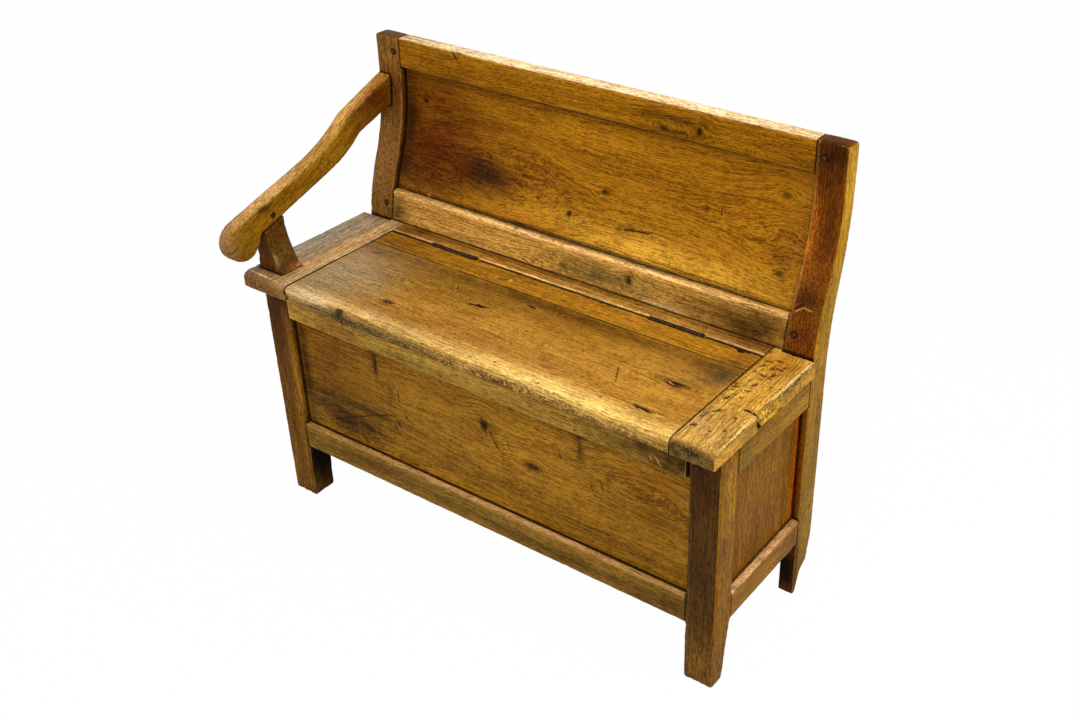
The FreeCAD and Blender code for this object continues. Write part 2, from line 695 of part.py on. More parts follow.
def seat_end(side):
    """A fixed board at one end of the seat, notched round the back post."""
    word = "right" if side == RIGHT else "left"
    wide = f"{word}_end_width"
    x = LID_RIGHT if side == RIGHT else SEAT_LEFT
    body = piece(f"seat_end_{word}", x)
    points = [("-seat_overhang", UNDERSIDE), (POST_REAR, UNDERSIDE), (POST_REAR, "seat_height"),
              ("-seat_overhang", "seat_height")]
    bar(body, "board", points, wide)
    front = -size("seat_overhang")
    low = size(UNDERSIDE)
    high = size("seat_height")
    nosing(body, front, low, high)
    outer = size(wide) if side == RIGHT else 0.0
    inner = size(wide) - outer
    limit = size("nose_top_radius")
    for name, x_end, radius in (("outer_end", outer, "end_rounding"), ("inner_end", inner, "end_rounding / 2")):
        soften(body, name, radius, lambda edge: near(edge.BoundBox.XMin, x_end) and near(edge.BoundBox.XMax, x_end)
               and (edge.CenterOfMass.z > high - limit or edge.CenterOfMass.y < front + limit)
               and edge.CenterOfMass.y < size("back_post_front"))
    post_side = f"({word}_overhang + post_width)"
    notch_x = f"{wide} - {post_side}" if side == RIGHT else "-1"
    block(body, "post_notch", (notch_x, "back_post_front", f"{UNDERSIDE} - 1"),
          (f"{post_side} + 1", "back_post_depth + 1", "seat_thickness + 2"))
    if side == LEFT:
        block(body, "support_mortise", (
            "left_overhang + (support_base - support_tenon_width) / 2 - joint_clearance",
            f"{SUPPORT_TENON_Y} - joint_clearance",
            f"{UNDERSIDE} - 1",
        ), (
            "support_tenon_width + 2 * joint_clearance",
            f"{SUPPORT_TENON_DEEP} + 2 * joint_clearance",
            "seat_thickness + 2",
        ))
    else:
        edge_chip(body)
    return body


def edge_chip(body):
    """The old splinter lost from the outer top edge of the right seat end."""
    chip = new_sketch(body, "edge_chip_plan", "XY_Plane", "seat_height")
    rear = "(edge_chip_start + edge_chip_length)"
    outline(chip, [
        ("(right_end_width - edge_chip_depth)", "edge_chip_start"),
        ("(right_end_width + 1)", "(edge_chip_start - edge_chip_depth / 2)"),
        ("(right_end_width + 1)", f"({rear} + edge_chip_depth)"),
        ("(right_end_width - edge_chip_depth / 3)", rear),
    ])
    cut = body.newObject("PartDesign::Pocket", "edge_chip")
    cut.Profile = chip
    cut.setExpression("Length", formula("edge_chip_drop"))


def hinge_bed(body, x, edge_y, towards):
    """Sinks a hinge leaf and its barrel into a board's edge; towards is 1 into +y, -1 into -y."""
    reach = "(knuckle_radius + recess_clearance)"
    leaf_reach = "(leaf_gap + leaf_thickness)"
    barrel_deep = f"({reach} - hinge_gap / 2)"
    leaf_deep = f"({leaf_reach} - hinge_gap / 2)"
    start = edge_y if towards > 0 else f"({edge_y} - {barrel_deep})"
    leaf_start = edge_y if towards > 0 else f"({edge_y} - {leaf_deep})"
    block(body, "barrel_bed", (f"({x}) - recess_clearance", start, f"{AXIS_Z} - {reach}"),
          ("hinge_length + recess_overrun", barrel_deep, f"{reach} + hinge_drop + 1"))
    block(body, "leaf_bed", (f"({x}) - joint_clearance", leaf_start, f"{AXIS_Z} - leaf_height - joint_clearance"),
          ("hinge_length + 2 * joint_clearance", leaf_deep, "leaf_height"))


def screw_places(x):
    """The x places of one leaf's screws, from the leaf's left end at x."""
    pitch = f"((hinge_length - 2 * screw_margin) / {SCREWS_PER_LEAF - 1})"
    return [f"({x} + screw_margin + {number} * {pitch})" for number in range(SCREWS_PER_LEAF)]


LEAF_SCREW_Z = "(knuckle_radius / 2 + leaf_height / 2)"


def hinge_strip():
    """The fixed board behind the lid that carries the hinges."""
    body = piece("hinge_board", LID_LEFT)
    front = "(lid_rear + hinge_gap)"
    points = [(front, UNDERSIDE), (POST_REAR, UNDERSIDE), (POST_REAR, "seat_height"), (front, "seat_height")]
    bar(body, "board", points, f"{LID_RIGHT} - {LID_LEFT}")
    soften(body, "front_arris", "arris", lambda edge: runs_along(edge, "x", y=size(front), z=size("seat_height")))
    for x in HINGES.values():
        hinge_bed(body, f"{x} - {LID_LEFT}", front, 1)
        for place_x in screw_places(f"({x} - {LID_LEFT})"):
            rod(body, "screw_hole", "Y", (place_x, front, f"{AXIS_Z} - {LEAF_SCREW_Z}"),
                "screw_radius + screw_clearance", "screw_length")
    return body


LID_RUN = f"({LID_RIGHT} - {LID_LEFT} - 2 * lid_gap)"
LID_UNDERSIDE = f"({UNDERSIDE} + lid_lift)"
LID_START = f"({LID_LEFT} + lid_gap)"
BATTEN_REAR = "(lid_rear - batten_rear_gap)"
BATTEN_STARTS = {
    "left": f"({LID_START} + batten_inset)",
    "right": f"({LID_START} + {LID_RUN} - batten_inset - batten_width)",
}
BATTEN_SCREW_ROWS = ("(batten_front + screw_margin)", "(lid_seam - screw_margin)",
                     f"((lid_seam + {BATTEN_REAR}) / 2)")


def batten_screw_holes(body, x_offset, base_z, rows, long):
    """Holes for the screws that come up through the battens."""
    for start in BATTEN_STARTS.values():
        for number, y in enumerate(rows, 1):
            rod(body, f"batten_screw_hole_{number}", "Z", (f"{start} + batten_width / 2 - {x_offset}", y, base_z),
                "screw_radius + screw_clearance", long)


def lid():
    """Two boards side by side, held flat by two battens under them."""
    front_board = piece("lid_front_board", LID_START)
    points = [("-seat_overhang", LID_UNDERSIDE), ("lid_seam", LID_UNDERSIDE), ("lid_seam", "seat_height"),
              ("-seat_overhang", "seat_height")]
    bar(front_board, "board", points, LID_RUN)
    front = -size("seat_overhang")
    nosing(front_board, front, size(LID_UNDERSIDE), size("seat_height"))
    high = size("seat_height")
    soften(front_board, "end_arrises", "end_rounding", lambda edge: near(edge.BoundBox.XMin, edge.BoundBox.XMax)
           and edge.CenterOfMass.y < front + size("nose_top_radius"))
    rod(front_board, "corner_chip", "Y", ("-lid_gap - lid_chip_offset", "-seat_overhang - 1",
        "seat_height - lid_chip_drop"), "lid_chip_radius", "lid_chip_depth + 1")
    rear_board = piece("lid_rear_board", LID_START)
    points = [("lid_seam", LID_UNDERSIDE), ("lid_rear", LID_UNDERSIDE), ("lid_rear", "seat_height"),
              ("lid_seam", "seat_height")]
    bar(rear_board, "board", points, LID_RUN)
    soften(rear_board, "rear_arris", "arris", lambda edge: runs_along(edge, "x", y=size("lid_rear"), z=high))
    soften(rear_board, "end_arrises", "end_rounding", lambda edge: runs_along(edge, "y", z=high))
    for x in HINGES.values():
        hinge_bed(rear_board, f"{x} - {LID_START}", "lid_rear", -1)
        for place_x in screw_places(f"({x} - {LID_START})"):
            rod(rear_board, "screw_hole", "Y", (place_x, "lid_rear - screw_length", f"{AXIS_Z} - {LEAF_SCREW_Z}"),
                "screw_radius + screw_clearance", "screw_length")
    rise = "(batten_screw_length - batten_thickness + screw_clearance)"
    batten_screw_holes(front_board, LID_START, LID_UNDERSIDE, BATTEN_SCREW_ROWS[:2], rise)
    batten_screw_holes(rear_board, LID_START, LID_UNDERSIDE, BATTEN_SCREW_ROWS[2:], rise)
    for word, start in BATTEN_STARTS.items():
        low = f"({LID_UNDERSIDE} - batten_thickness)"
        body = piece(f"lid_batten_{word}", start)
        points = [("batten_front", low), (BATTEN_REAR, low), (BATTEN_REAR, LID_UNDERSIDE),
                  ("batten_front", LID_UNDERSIDE)]
        bar(body, "batten", points, "batten_width")
        edge_z = size(low)
        soften(body, "batten_arrises", "arris", lambda edge: runs_along(edge, "y", z=edge_z)
               or runs_along(edge, "x", z=edge_z))
        for number, y in enumerate(BATTEN_SCREW_ROWS, 1):
            rod(body, f"screw_hole_{number}", "Z", ("batten_width / 2", y, low), "screw_radius + screw_clearance",
                "batten_thickness")
            countersink = body.newObject("PartDesign::SubtractiveCone", f"countersink_{number}")
            for axis, text in zip("xyz", ("batten_width / 2", y, low)):
                countersink.setExpression(f"Placement.Base.{axis}", formula(text))
            countersink.setExpression("Radius1", formula("screw_head_radius + screw_clearance"))
            countersink.setExpression("Radius2", formula("screw_radius + screw_clearance"))
            countersink.setExpression("Height", formula("screw_head_height"))


def backrest():
    """The leaning bottom rail, the crest rail and the bowed panel between them."""
    low = piece("backrest_bottom_rail", f"-{POST_INNER}")
    face_low = f"({stile_face_low('seat_height')} + rail_setback)"
    face_high = f"({stile_face_low(BOTTOM_RAIL_TOP)} + rail_setback)"
    points = [(face_low, "seat_height"), (f"({face_low} + rail_thickness)", "seat_height"),
              (f"({face_high} + rail_thickness)", BOTTOM_RAIL_TOP), (face_high, BOTTOM_RAIL_TOP)]
    bar(low, "length", points, RAIL_RUN)
    top_y = size(face_high)
    soften(low, "show_arris", "arris", lambda edge: runs_along(edge, "x", y=top_y, z=size(BOTTOM_RAIL_TOP)))
    block(low, "tenons", ("-front_tenon", f"{face_high} + back_tenon_set", "seat_height + tenon_shoulder"),
          (f"{RAIL_RUN} + 2 * front_tenon", "back_tenon_thickness", "bottom_rail_height - 2 * tenon_shoulder"),
          "Additive")
    slot, slot_bends = back_panel_slot()
    channel(low, "groove", slot, RAIL_RUN, slot_bends)
    crest = piece("backrest_crest_rail", f"-{POST_INNER}")
    face = f"({STILE_FRONT_TOP} + rail_setback)"
    back = f"({STILE_REAR_TOP} - rail_setback)"
    points = [(face, CREST_LOW), (back, CREST_LOW), (back, BACK_HEIGHT), (face, BACK_HEIGHT)]
    bar(crest, "length", points, RAIL_RUN)
    top = size(BACK_HEIGHT)
    soften(crest, "crest_arrises", "crest_rounding", lambda edge: runs_along(edge, "x", z=top))
    soften(crest, "low_arris", "arris", lambda edge: runs_along(edge, "x", y=size(face), z=size(CREST_LOW)))
    block(crest, "tenons", ("-front_tenon", f"{STILE_FRONT_TOP} + back_recess", f"{CREST_LOW} + tenon_shoulder"),
          (f"{RAIL_RUN} + 2 * front_tenon", "panel_thickness", "crest_rail_height - 2 * tenon_shoulder"),
          "Additive")
    channel(crest, "groove", slot, RAIL_RUN, slot_bends)
    for number, x in enumerate(("-peg_inset", f"{RAIL_RUN} + peg_inset"), 1):
        peg_hole(low, f"peg_hole_{number}", x, LOW_PEG_Y, LOW_PEG_Z)
        peg_hole(crest, f"peg_hole_{number}", x, STILE_FRONT_TOP, CREST_PEG_Z)
    tongue = "(groove_depth - panel_slack)"
    board = piece("backrest_panel", f"-{POST_INNER}")
    points, bends = swayed_strip(f"({BOTTOM_RAIL_TOP} - {tongue})", f"({CREST_LOW} + {tongue})", "back_recess",
                                 "panel_thickness")
    bar(board, "board", points, f"{RAIL_RUN} + 2 * {tongue}", bends, start=f"-{tongue}")


# Arm outline, front to back and up
NOSE = ("(-arm_nose_reach)", f"({BACK_HEIGHT} - arm_nose_drop)")
NOSE_LOW = (NOSE[0], f"({NOSE[1]} - arm_nose_radius)")
NOSE_BACK_Y = f"({NOSE[0]} + arm_nose_radius)"


def way(pitch):
    """The run and rise of one millimetre along a slope given in degrees."""
    return f"cos({pitch} * 1deg)", f"sin({pitch} * 1deg)"


def onwards(point, long, pitch):
    """The place reached from a point by going along a slope."""
    run, rise = way(pitch)
    return f"({point[0]} + {long} * {run})", f"({point[1]} + {long} * {rise})"


def after_dip(point, radius, pitch, turn):
    """The place reached by an upward arc that starts along a slope and turns by some degrees."""
    run, rise = way(pitch)
    end_run, end_rise = way(f"({pitch} + {turn})")
    return (f"({point[0]} + {radius} * ({end_rise} - {rise}))", f"({point[1]} + {radius} * ({run} - {end_run}))")


ARM_RUN, ARM_RISE = way("arm_pitch")
NOSE_TOP = (f"({NOSE[0]} - arm_nose_radius * {ARM_RISE})", f"({NOSE[1]} + arm_nose_radius * {ARM_RUN})")
TOP_HOLLOW = onwards(NOSE_TOP, "arm_straight", "arm_pitch")
TOP_KINK = after_dip(TOP_HOLLOW, "arm_dip_radius", "arm_pitch", "arm_dip_turn")
LOW_RUN, LOW_RISE = way("arm_low_pitch")
LOW_HOLLOW = onwards((NOSE_BACK_Y, NOSE[1]), "arm_low_straight", "arm_low_pitch")
LOW_KINK = after_dip(LOW_HOLLOW, "arm_low_dip_radius", "arm_low_pitch", "arm_low_dip_turn")
ROOT_TOP = f"({BACK_HEIGHT} - arm_root_drop)"
ROOT_LOW = f"({ROOT_TOP} - arm_root_depth)"


def knee(name, corner, pitch, root_height):
    """Where a bend over a corner, entered along a slope, meets the straight edge to the root."""
    run, rise = way(pitch)
    centre_y = f"({corner[0]} + arm_knee_radius * {rise})"
    centre_z = f"({corner[1]} - arm_knee_radius * {run})"
    across = worked_out(f"{name}_across", f"{stile_face_high(root_height)} - {centre_y}")
    up = worked_out(f"{name}_up", f"{root_height} - {centre_z}")
    square = f"({across}^2 + {up}^2)"
    straight = f"sqrt({square} - arm_knee_radius^2)"
    share = f"arm_knee_radius / {square}"
    return (f"({centre_y} + {share} * (arm_knee_radius * {across} - {straight} * {up}))",
            f"({centre_z} + {share} * (arm_knee_radius * {up} + {straight} * {across}))")


TOP_KNEE = knee("top_knee", TOP_KINK, "(arm_pitch + arm_dip_turn)", ROOT_TOP)
LOW_KNEE = knee("low_knee", LOW_KINK, "(arm_low_pitch + arm_low_dip_turn)", ROOT_LOW)
CROOK_LONG = (f"(sqrt((arm_nose_radius * {LOW_RUN})^2 + 2 * arm_nose_radius * arm_crook_radius"
              f" * (1 - {LOW_RISE})) - arm_nose_radius * {LOW_RUN})")
CROOK_END = onwards((NOSE_BACK_Y, NOSE[1]), CROOK_LONG, "arm_low_pitch")
CROOK_SHARE = "(arm_nose_radius / (arm_nose_radius + arm_crook_radius))"
CROOK_START = (f"({NOSE[0]} + ({CROOK_END[0]} + arm_crook_radius * {LOW_RISE} - {NOSE[0]}) * {CROOK_SHARE})",
               f"({NOSE[1]} + ({CROOK_END[1]} - arm_crook_radius * {LOW_RUN} - {NOSE[1]}) * {CROOK_SHARE})")


def low_edge_height(y):
    """Height of the arm's straight lower edge above a place on Y."""
    return f"({NOSE[1]} + {LOW_RISE} / {LOW_RUN} * ({y} - {NOSE_BACK_Y}))"


ARM_OVER_SUPPORT = low_edge_height("(support_depth / 2)")
ARM_PEG_START = "(arm_thickness / 2 - peg_length / 2)"
ARM_PEG_Y = "(support_depth / 2)"
ARM_PEG_Z = f"({ARM_OVER_SUPPORT} + support_tenon_rise / 2)"


def arm():
    """The left arm: a sawn, dipping plank with a round hand-hold."""
    body = piece("arm", f"-{HALF}")
    points = [(stile_face_high(ROOT_TOP), ROOT_TOP), TOP_KNEE, TOP_KINK, TOP_HOLLOW, NOSE_TOP, NOSE_LOW,
              CROOK_START, CROOK_END, LOW_HOLLOW, LOW_KINK, LOW_KNEE, (stile_face_high(ROOT_LOW), ROOT_LOW)]
    bends = {
        1: ("arm_knee_radius", 1),
        2: ("arm_dip_radius", -1),
        4: ("arm_nose_radius", 1),
        5: ("arm_nose_radius", 1),
        6: ("arm_crook_radius", -1),
        8: ("arm_low_dip_radius", 1),
        9: ("arm_knee_radius", -1),
        11: (FRONT_SWAY, 1),
    }
    bar(body, "plank", points, "arm_thickness", bends)
    root = size(points[-1][0])
    soften(body, "arm_arrises", "arm_rounding", lambda edge: near(edge.BoundBox.XMin, edge.BoundBox.XMax)
           and edge.CenterOfMass.y < root)
    block(body, "root_tenon", (
        SUPPORT_TENON_X,
        f"{stile_face_high(ROOT_LOW)} - 1",
        f"{ROOT_LOW} + (arm_root_depth - arm_tenon_height) / 2",
    ), ("arm_tenon_thickness", "side_tenon + 1", "arm_tenon_height"), "Additive")
    block(body, "support_mortise", (
        f"{SUPPORT_TENON_X} - joint_clearance",
        f"{SUPPORT_TENON_Y} - joint_clearance",
        f"{NOSE[1]} - 1",
    ), (
        "arm_tenon_thickness + 2 * joint_clearance",
        f"{SUPPORT_TENON_DEEP} + 2 * joint_clearance",
        f"{ARM_OVER_SUPPORT} + support_tenon_rise - {NOSE[1]} + joint_clearance + 1",
    ))
    rod(body, "peg_hole", "X", (ARM_PEG_START, ARM_PEG_Y, ARM_PEG_Z), "peg_radius + peg_clearance",
        "arm_thickness + 2")
    return body


def arm_support():
    """The upright under the arm, flared inwards at its foot and tenoned at both ends."""
    body = piece("arm_support", f"-{HALF}")
    flare_top = f"({low_edge_height('support_depth')} + support_spare)"
    rise = f"({flare_top} - seat_height)"
    spread = "(support_base - arm_thickness)"
    sketch = new_sketch(body, "front_view", "XZ_Plane")
    outline(sketch, [("0", "seat_height"), ("support_base", "seat_height"), ("arm_thickness", flare_top),
                     ("0", flare_top)], {1: (f"(({rise}^2 + {spread}^2) / (2 * {spread}))", -1)})
    pad = body.newObject("PartDesign::Pad", "upright")
    pad.Profile = sketch
    pad.Reversed = True
    pad.setExpression("Length", formula("support_depth"))
    doc.recompute()
    above = f"({flare_top} + arm_nose_radius)"
    channel(body, "arm_seat", [
        ("-1", low_edge_height("-1")),
        ("(support_depth + 1)", low_edge_height("(support_depth + 1)")),
        ("(support_depth + 1)", above),
        ("-1", above),
    ], "support_base + 2", start="-1")
    block(body, "upper_tenon", (SUPPORT_TENON_X, SUPPORT_TENON_Y, "seat_height + 1"),
          ("arm_tenon_thickness", SUPPORT_TENON_DEEP, f"{ARM_OVER_SUPPORT} + support_tenon_rise - seat_height - 1"),
          "Additive")
    block(body, "lower_tenon", ("(support_base - support_tenon_width) / 2", SUPPORT_TENON_Y,
          f"{UNDERSIDE} - support_tenon_seat"), ("support_tenon_width", SUPPORT_TENON_DEEP,
          "seat_thickness + support_tenon_seat + 1"), "Additive")
    rod(body, "peg_hole", "X", (ARM_PEG_START, ARM_PEG_Y, ARM_PEG_Z), "peg_radius + peg_clearance",
        "arm_thickness + 2")
    return body


def round_group(label, where, role, level, centres, radius, long, reverse, head=None, z="0"):
    """Several round pieces padded from one sketch, with tapered heads where asked."""
    body = piece(label, *where)
    body.AllowCompound = True
    for name, ring, reach, taper in ((("shanks", radius, long, 0),) if head is None else
                                     (("heads", head, "screw_head_height", -45), ("shanks", radius, long, 0))):
        sketch = new_sketch(body, f"{name}_plan", role, level)
        for across, up in centres:
            place_on_plane = FreeCAD.Vector(size(across), size(up), 0)
            circle = sketch.addGeometry(Part.Circle(place_on_plane, FreeCAD.Vector(0, 0, 1), size(ring)))
            bound(sketch, "DistanceX", (-1, 1, circle, 3), across)
            bound(sketch, "DistanceY", (-1, 1, circle, 3), up)
            bound(sketch, "Radius", (circle,), ring)
        pad = body.newObject("PartDesign::Pad", name)
        pad.Profile = sketch
        pad.Reversed = reverse
        pad.setExpression("Length", formula(reach))
        pad.TaperAngle = taper
        doc.recompute()
    return body


def pegs():
    """Round oak pegs, driven from the front and left a little proud."""
    left_x = f"(-{POST_INNER} - peg_inset)"
    right_x = f"({POST_INNER} + peg_inset)"
    round_group("crest_pegs", ("0", "0", "0"), "XZ_Plane", f"-({STILE_FRONT_TOP} - peg_proud)",
                [(left_x, CREST_PEG_Z), (right_x, CREST_PEG_Z)], "peg_radius", "peg_length", True)
    round_group("back_rail_pegs", ("0", "0", "0"), "XZ_Plane", f"-({LOW_PEG_Y} - peg_proud)",
                [(left_x, LOW_PEG_Z), (right_x, LOW_PEG_Z)], "peg_radius", "peg_length", True)
    round_group("front_rail_pegs", ("0", "0", "0"), "XZ_Plane", "peg_proud",
                [(left_x, TOP_PEG_Z), (right_x, TOP_PEG_Z)], "peg_radius", "peg_length", True)
    round_group("arm_peg", (f"-{HALF}", "0", "0"), "YZ_Plane", ARM_PEG_START,
                [(ARM_PEG_Y, ARM_PEG_Z)], "peg_radius", "peg_length", False)


def leaf(label, x, towards, own):
    """One leaf of a butt hinge with its own knuckles; towards is 1 for the fixed leaf."""
    body = piece(label, x, AXIS_Y, AXIS_Z)
    near_y = "leaf_gap" if towards > 0 else "(-leaf_gap - leaf_thickness)"
    clear = "(knuckle_radius + knuckle_gap)"
    pitch = f"((hinge_length + knuckle_gap) / {KNUCKLES})"
    block(body, "plate", ("0", near_y, "-leaf_height"), ("hinge_length", "leaf_thickness", f"leaf_height - {clear}"),
          "Additive")
    for number in own:
        start = f"({number} * {pitch})"
        long = f"({pitch} - knuckle_gap)"
        block(body, f"neck_{number}", (start, near_y, f"-{clear}"), (long, "leaf_thickness", clear), "Additive")
        rod(body, f"knuckle_{number}", "X", (start, "0", "0"), "knuckle_radius", long, "Additive")
    rod(body, "pin_bore", "X", ("-1", "0", "0"), "pin_radius + pin_clearance", "hinge_length + 2")
    for number, place_x in enumerate(screw_places("0"), 1):
        head_y = "leaf_gap" if towards > 0 else "-leaf_gap"
        rod(body, f"screw_hole_{number}", "Y", (place_x, near_y, f"-{LEAF_SCREW_Z}"),
            "screw_radius + screw_clearance", "leaf_thickness")
        countersink = body.newObject("PartDesign::SubtractiveCone", f"countersink_{number}")
        turn = FreeCAD.Rotation(FreeCAD.Vector(1, 0, 0), -90 if towards > 0 else 90)
        countersink.Placement = FreeCAD.Placement(FreeCAD.Vector(), turn)
        for axis, text in zip("xyz", (place_x, head_y, f"-{LEAF_SCREW_Z}")):
            countersink.setExpression(f"Placement.Base.{axis}", formula(text))
        countersink.setExpression("Radius1", formula("screw_head_radius + screw_clearance"))
        countersink.setExpression("Radius2", formula("screw_radius + screw_clearance"))
        countersink.setExpression("Height", formula("screw_head_height"))
    return body


def hinges():
    """Two butt hinges sunk into the edges of the lid and the hinge board."""
    for word, x in HINGES.items():
        leaf(f"hinge_fixed_leaf_{word}", x, 1, range(0, KNUCKLES, 2))
        leaf(f"hinge_lid_leaf_{word}", x, -1, range(1, KNUCKLES, 2))
        pin = piece(f"hinge_pin_{word}", x, AXIS_Y, AXIS_Z)
        rod(pin, "pin", "X", ("0", "0", "0"), "pin_radius", "hinge_length", "Additive")
    centres = [(place_x, f"({AXIS_Z} - {LEAF_SCREW_Z})") for x in HINGES.values() for place_x in screw_places(x)]
    round_group("hinge_board_screws", ("0", "0", "0"), "XZ_Plane", f"-({AXIS_Y} + leaf_gap)",
                centres, "screw_radius", "screw_length", True, "screw_head_radius")
    round_group("hinge_lid_screws", ("0", "0", "0"), "XZ_Plane", f"-({AXIS_Y} - leaf_gap)",
                centres, "screw_radius", "screw_length", False, "screw_head_radius")
    centres = [(f"({start} + batten_width / 2)", y) for start in BATTEN_STARTS.values() for y in BATTEN_SCREW_ROWS]
    round_group("batten_screws", ("0", "0", "0"), "XY_Plane", f"({LID_UNDERSIDE} - batten_thickness)",
                centres, "screw_radius", "batten_screw_length", False, "screw_head_radius")


def build():
    """Every piece of the settle, from the legs up."""
    for side in (LEFT, RIGHT):
        front_post(side)
        back_post(side)
        seat_end(side)
    box_walls()
    box_floor()
    hinge_strip()
    lid()
    backrest()
    arm()
    arm_support()
    pegs()
    hinges()
    doc.recompute()


def check_and_write():
    """Stops on a failed object or an unsound solid, then writes one file for each piece."""
    for thing in doc.Objects:
        if "Invalid" in thing.State or "Error" in thing.State:
            raise RuntimeError(f"{thing.Label} has failed: {thing.State}")
    bodies = [thing for thing in doc.Objects if thing.TypeId == "PartDesign::Body"]
    for body in bodies:
        if body.Shape.isNull() or not body.Shape.isValid():
            raise RuntimeError(f"{body.Label} is not a sound solid")
    for body in bodies:
        body.Shape.exportStep(f"parts/{body.Label}.step")
        print(f"{body.Label}: {len(body.Shape.Solids)} solid(s), {body.Shape.Volume / 1000:.1f} cm3")
    print(f"{len(bodies)} pieces")


build()
check_and_write()
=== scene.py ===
"""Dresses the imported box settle: worn walnut boards, iron hinges, a plain studio and the camera."""

import logging
import math
from dataclasses import dataclass, field
from enum import Enum
from typing import Any

import bmesh
import bpy
import numpy as np
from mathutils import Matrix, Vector
from mathutils.bvhtree import BVHTree

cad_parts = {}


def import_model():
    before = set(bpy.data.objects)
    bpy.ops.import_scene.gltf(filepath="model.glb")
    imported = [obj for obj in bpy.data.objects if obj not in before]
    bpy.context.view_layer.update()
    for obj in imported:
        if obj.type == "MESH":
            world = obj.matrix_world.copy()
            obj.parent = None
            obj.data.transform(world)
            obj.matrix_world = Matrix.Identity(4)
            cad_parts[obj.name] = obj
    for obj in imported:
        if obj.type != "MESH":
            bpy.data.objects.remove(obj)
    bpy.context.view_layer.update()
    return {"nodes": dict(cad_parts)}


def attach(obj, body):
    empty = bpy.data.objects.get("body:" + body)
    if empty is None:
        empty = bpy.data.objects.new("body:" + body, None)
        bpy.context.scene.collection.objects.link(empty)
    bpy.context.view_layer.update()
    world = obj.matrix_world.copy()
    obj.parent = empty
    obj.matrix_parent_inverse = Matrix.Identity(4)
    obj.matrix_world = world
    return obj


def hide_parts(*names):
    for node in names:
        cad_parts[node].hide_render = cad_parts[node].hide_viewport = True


log = logging.getLogger("settle")

Colour = tuple[float, float, float]
Point = tuple[float, float, float]

IMAGE_WIDTH = 1080
IMAGE_HEIGHT = 720
SENSOR_WIDTH = 36.0
BENCH_CENTRE = np.array([-3.85, 141.25, 0.0])
MILLIMETRE = 0.001
MERGE_REACH = 1e-6


def linear(red: float, green: float, blue: float) -> Colour:
    """Turns display colour numbers from 0 to 255 into linear ones."""
    return tuple(
        part / 12.92 if part <= 0.04045 else ((part + 0.055) / 1.055) ** 2.4
        for part in (red / 255, green / 255, blue / 255)
    )


def bench_point(point: Point) -> np.ndarray:
    """Moves a point from bench millimetres into the part's frame in metres."""
    return (np.array(point) - BENCH_CENTRE) * MILLIMETRE


class Grain(Enum):
    """Which ways a board's fibres, width and thickness run."""

    LONG_UPRIGHT = ((1, 0, 0), (0, 0, 1), (0, 1, 0))
    LONG_FLAT = ((1, 0, 0), (0, 1, 0), (0, 0, 1))
    DEEP_FLAT = ((0, 1, 0), (1, 0, 0), (0, 0, 1))
    DEEP_UPRIGHT = ((0, 1, 0), (0, 0, 1), (1, 0, 0))
    TALL_FRONT = ((0, 0, 1), (1, 0, 0), (0, 1, 0))
    TALL_SIDE = ((0, 0, 1), (0, 1, 0), (1, 0, 0))
    SLOPING = ((0, 0.88, 0.475), (0, -0.475, 0.88), (1, 0, 0))

    @property
    def axes(self) -> np.ndarray:
        """The three directions as the rows of a matrix."""
        return np.array(self.value, float)


@dataclass(frozen=True)
class Knot:
    """A knot in bench millimetres, with its half length along the fibres and across them."""

    at: Point
    long: float
    wide: float
    depth: float = 1.0


@dataclass(frozen=True)
class StainOrLight:
    """A soft patch of a display colour in bench millimetres, on faces turned one way where one is given: a
    stain, or painted sheen, highlight or shade.
    """

    at: Point
    reach: Point
    colour: Colour
    strength: float = 0.8
    facing: Point | None = None


@dataclass(frozen=True)
class Dent:
    """A hollow pressed or split into a board, in bench millimetres."""

    at: Point
    reach: Point
    depth: float
    shade: float = 0.55


@dataclass(frozen=True)
class Line:
    """A scratch, split or prick on a board, dark or, with a strength below zero, pale; some pale lines are
    painted highlights along arrises.
    """

    start: Point
    end: Point
    width: float
    strength: float = 0.85


@dataclass(frozen=True)
class Crumble:
    """A stretch of a board that worms and knocks have left rough."""

    at: Point
    reach: Point
    strength: float = 1.0


def several(kind: type, *rows: tuple) -> tuple:
    """Makes one mark of a kind from each row of its values."""
    return tuple(kind(*row) for row in rows)


@dataclass(frozen=True)
class Face:
    """A flat side of the bench: the number of the coordinate that is the same all over, and its value."""

    axis: int
    level: float

    def at(self, first: float, second: float) -> Point:
        """The bench point with these other two coordinates."""
        pair = (first, second)
        return (*pair[:self.axis], self.level, *pair[self.axis:])

    def knots(self, *rows: tuple) -> tuple[Knot, ...]:
        """Knots from rows of two coordinates, two half lengths and a depth."""
        return tuple(Knot(self.at(*row[:2]), *row[2:]) for row in rows)

    def stains_and_light(self, deep: float, *rows: tuple) -> tuple[StainOrLight, ...]:
        """Patches of stain or painted light of one reach into the wood.

        Args:
            deep: How far each reaches into the wood.
            *rows: Two coordinates, two reaches, the colour and a strength for each patch.

        Returns:
            The patches.
        """
        reach = Face(self.axis, deep)
        return tuple(StainOrLight(self.at(*row[:2]), reach.at(*row[2:4]), *row[4:]) for row in rows)

    def lines(self, *rows: tuple) -> tuple[Line, ...]:
        """Lines from rows of both ends' coordinates, a width and, where it isn't usual, a strength."""
        return tuple(Line(self.at(*row[:2]), self.at(*row[2:4]), *row[4:]) for row in rows)


@dataclass(frozen=True)
class WoodFinish:
    """The gloss, figure and wear of one sort of board."""

    name: str
    worn: Colour
    # The colour of knot hearts, pits, cuts and grime, and of the painted shade in corners
    grime_and_shade: Colour = linear(26, 15, 6)
    roughness: float = 0.42
    polish: float = 0.05
    figure: float = 0.3
    streaks: float = 0.7
    speckle: float = 0.5
    wear: float = 0.6
    pits: float = 0.4


@dataclass(frozen=True)
class MetalFinish:
    """The colours and gloss of a metal fitting."""

    name: str
    bare: Colour
    rust: Colour
    roughness: float
    metallic: float


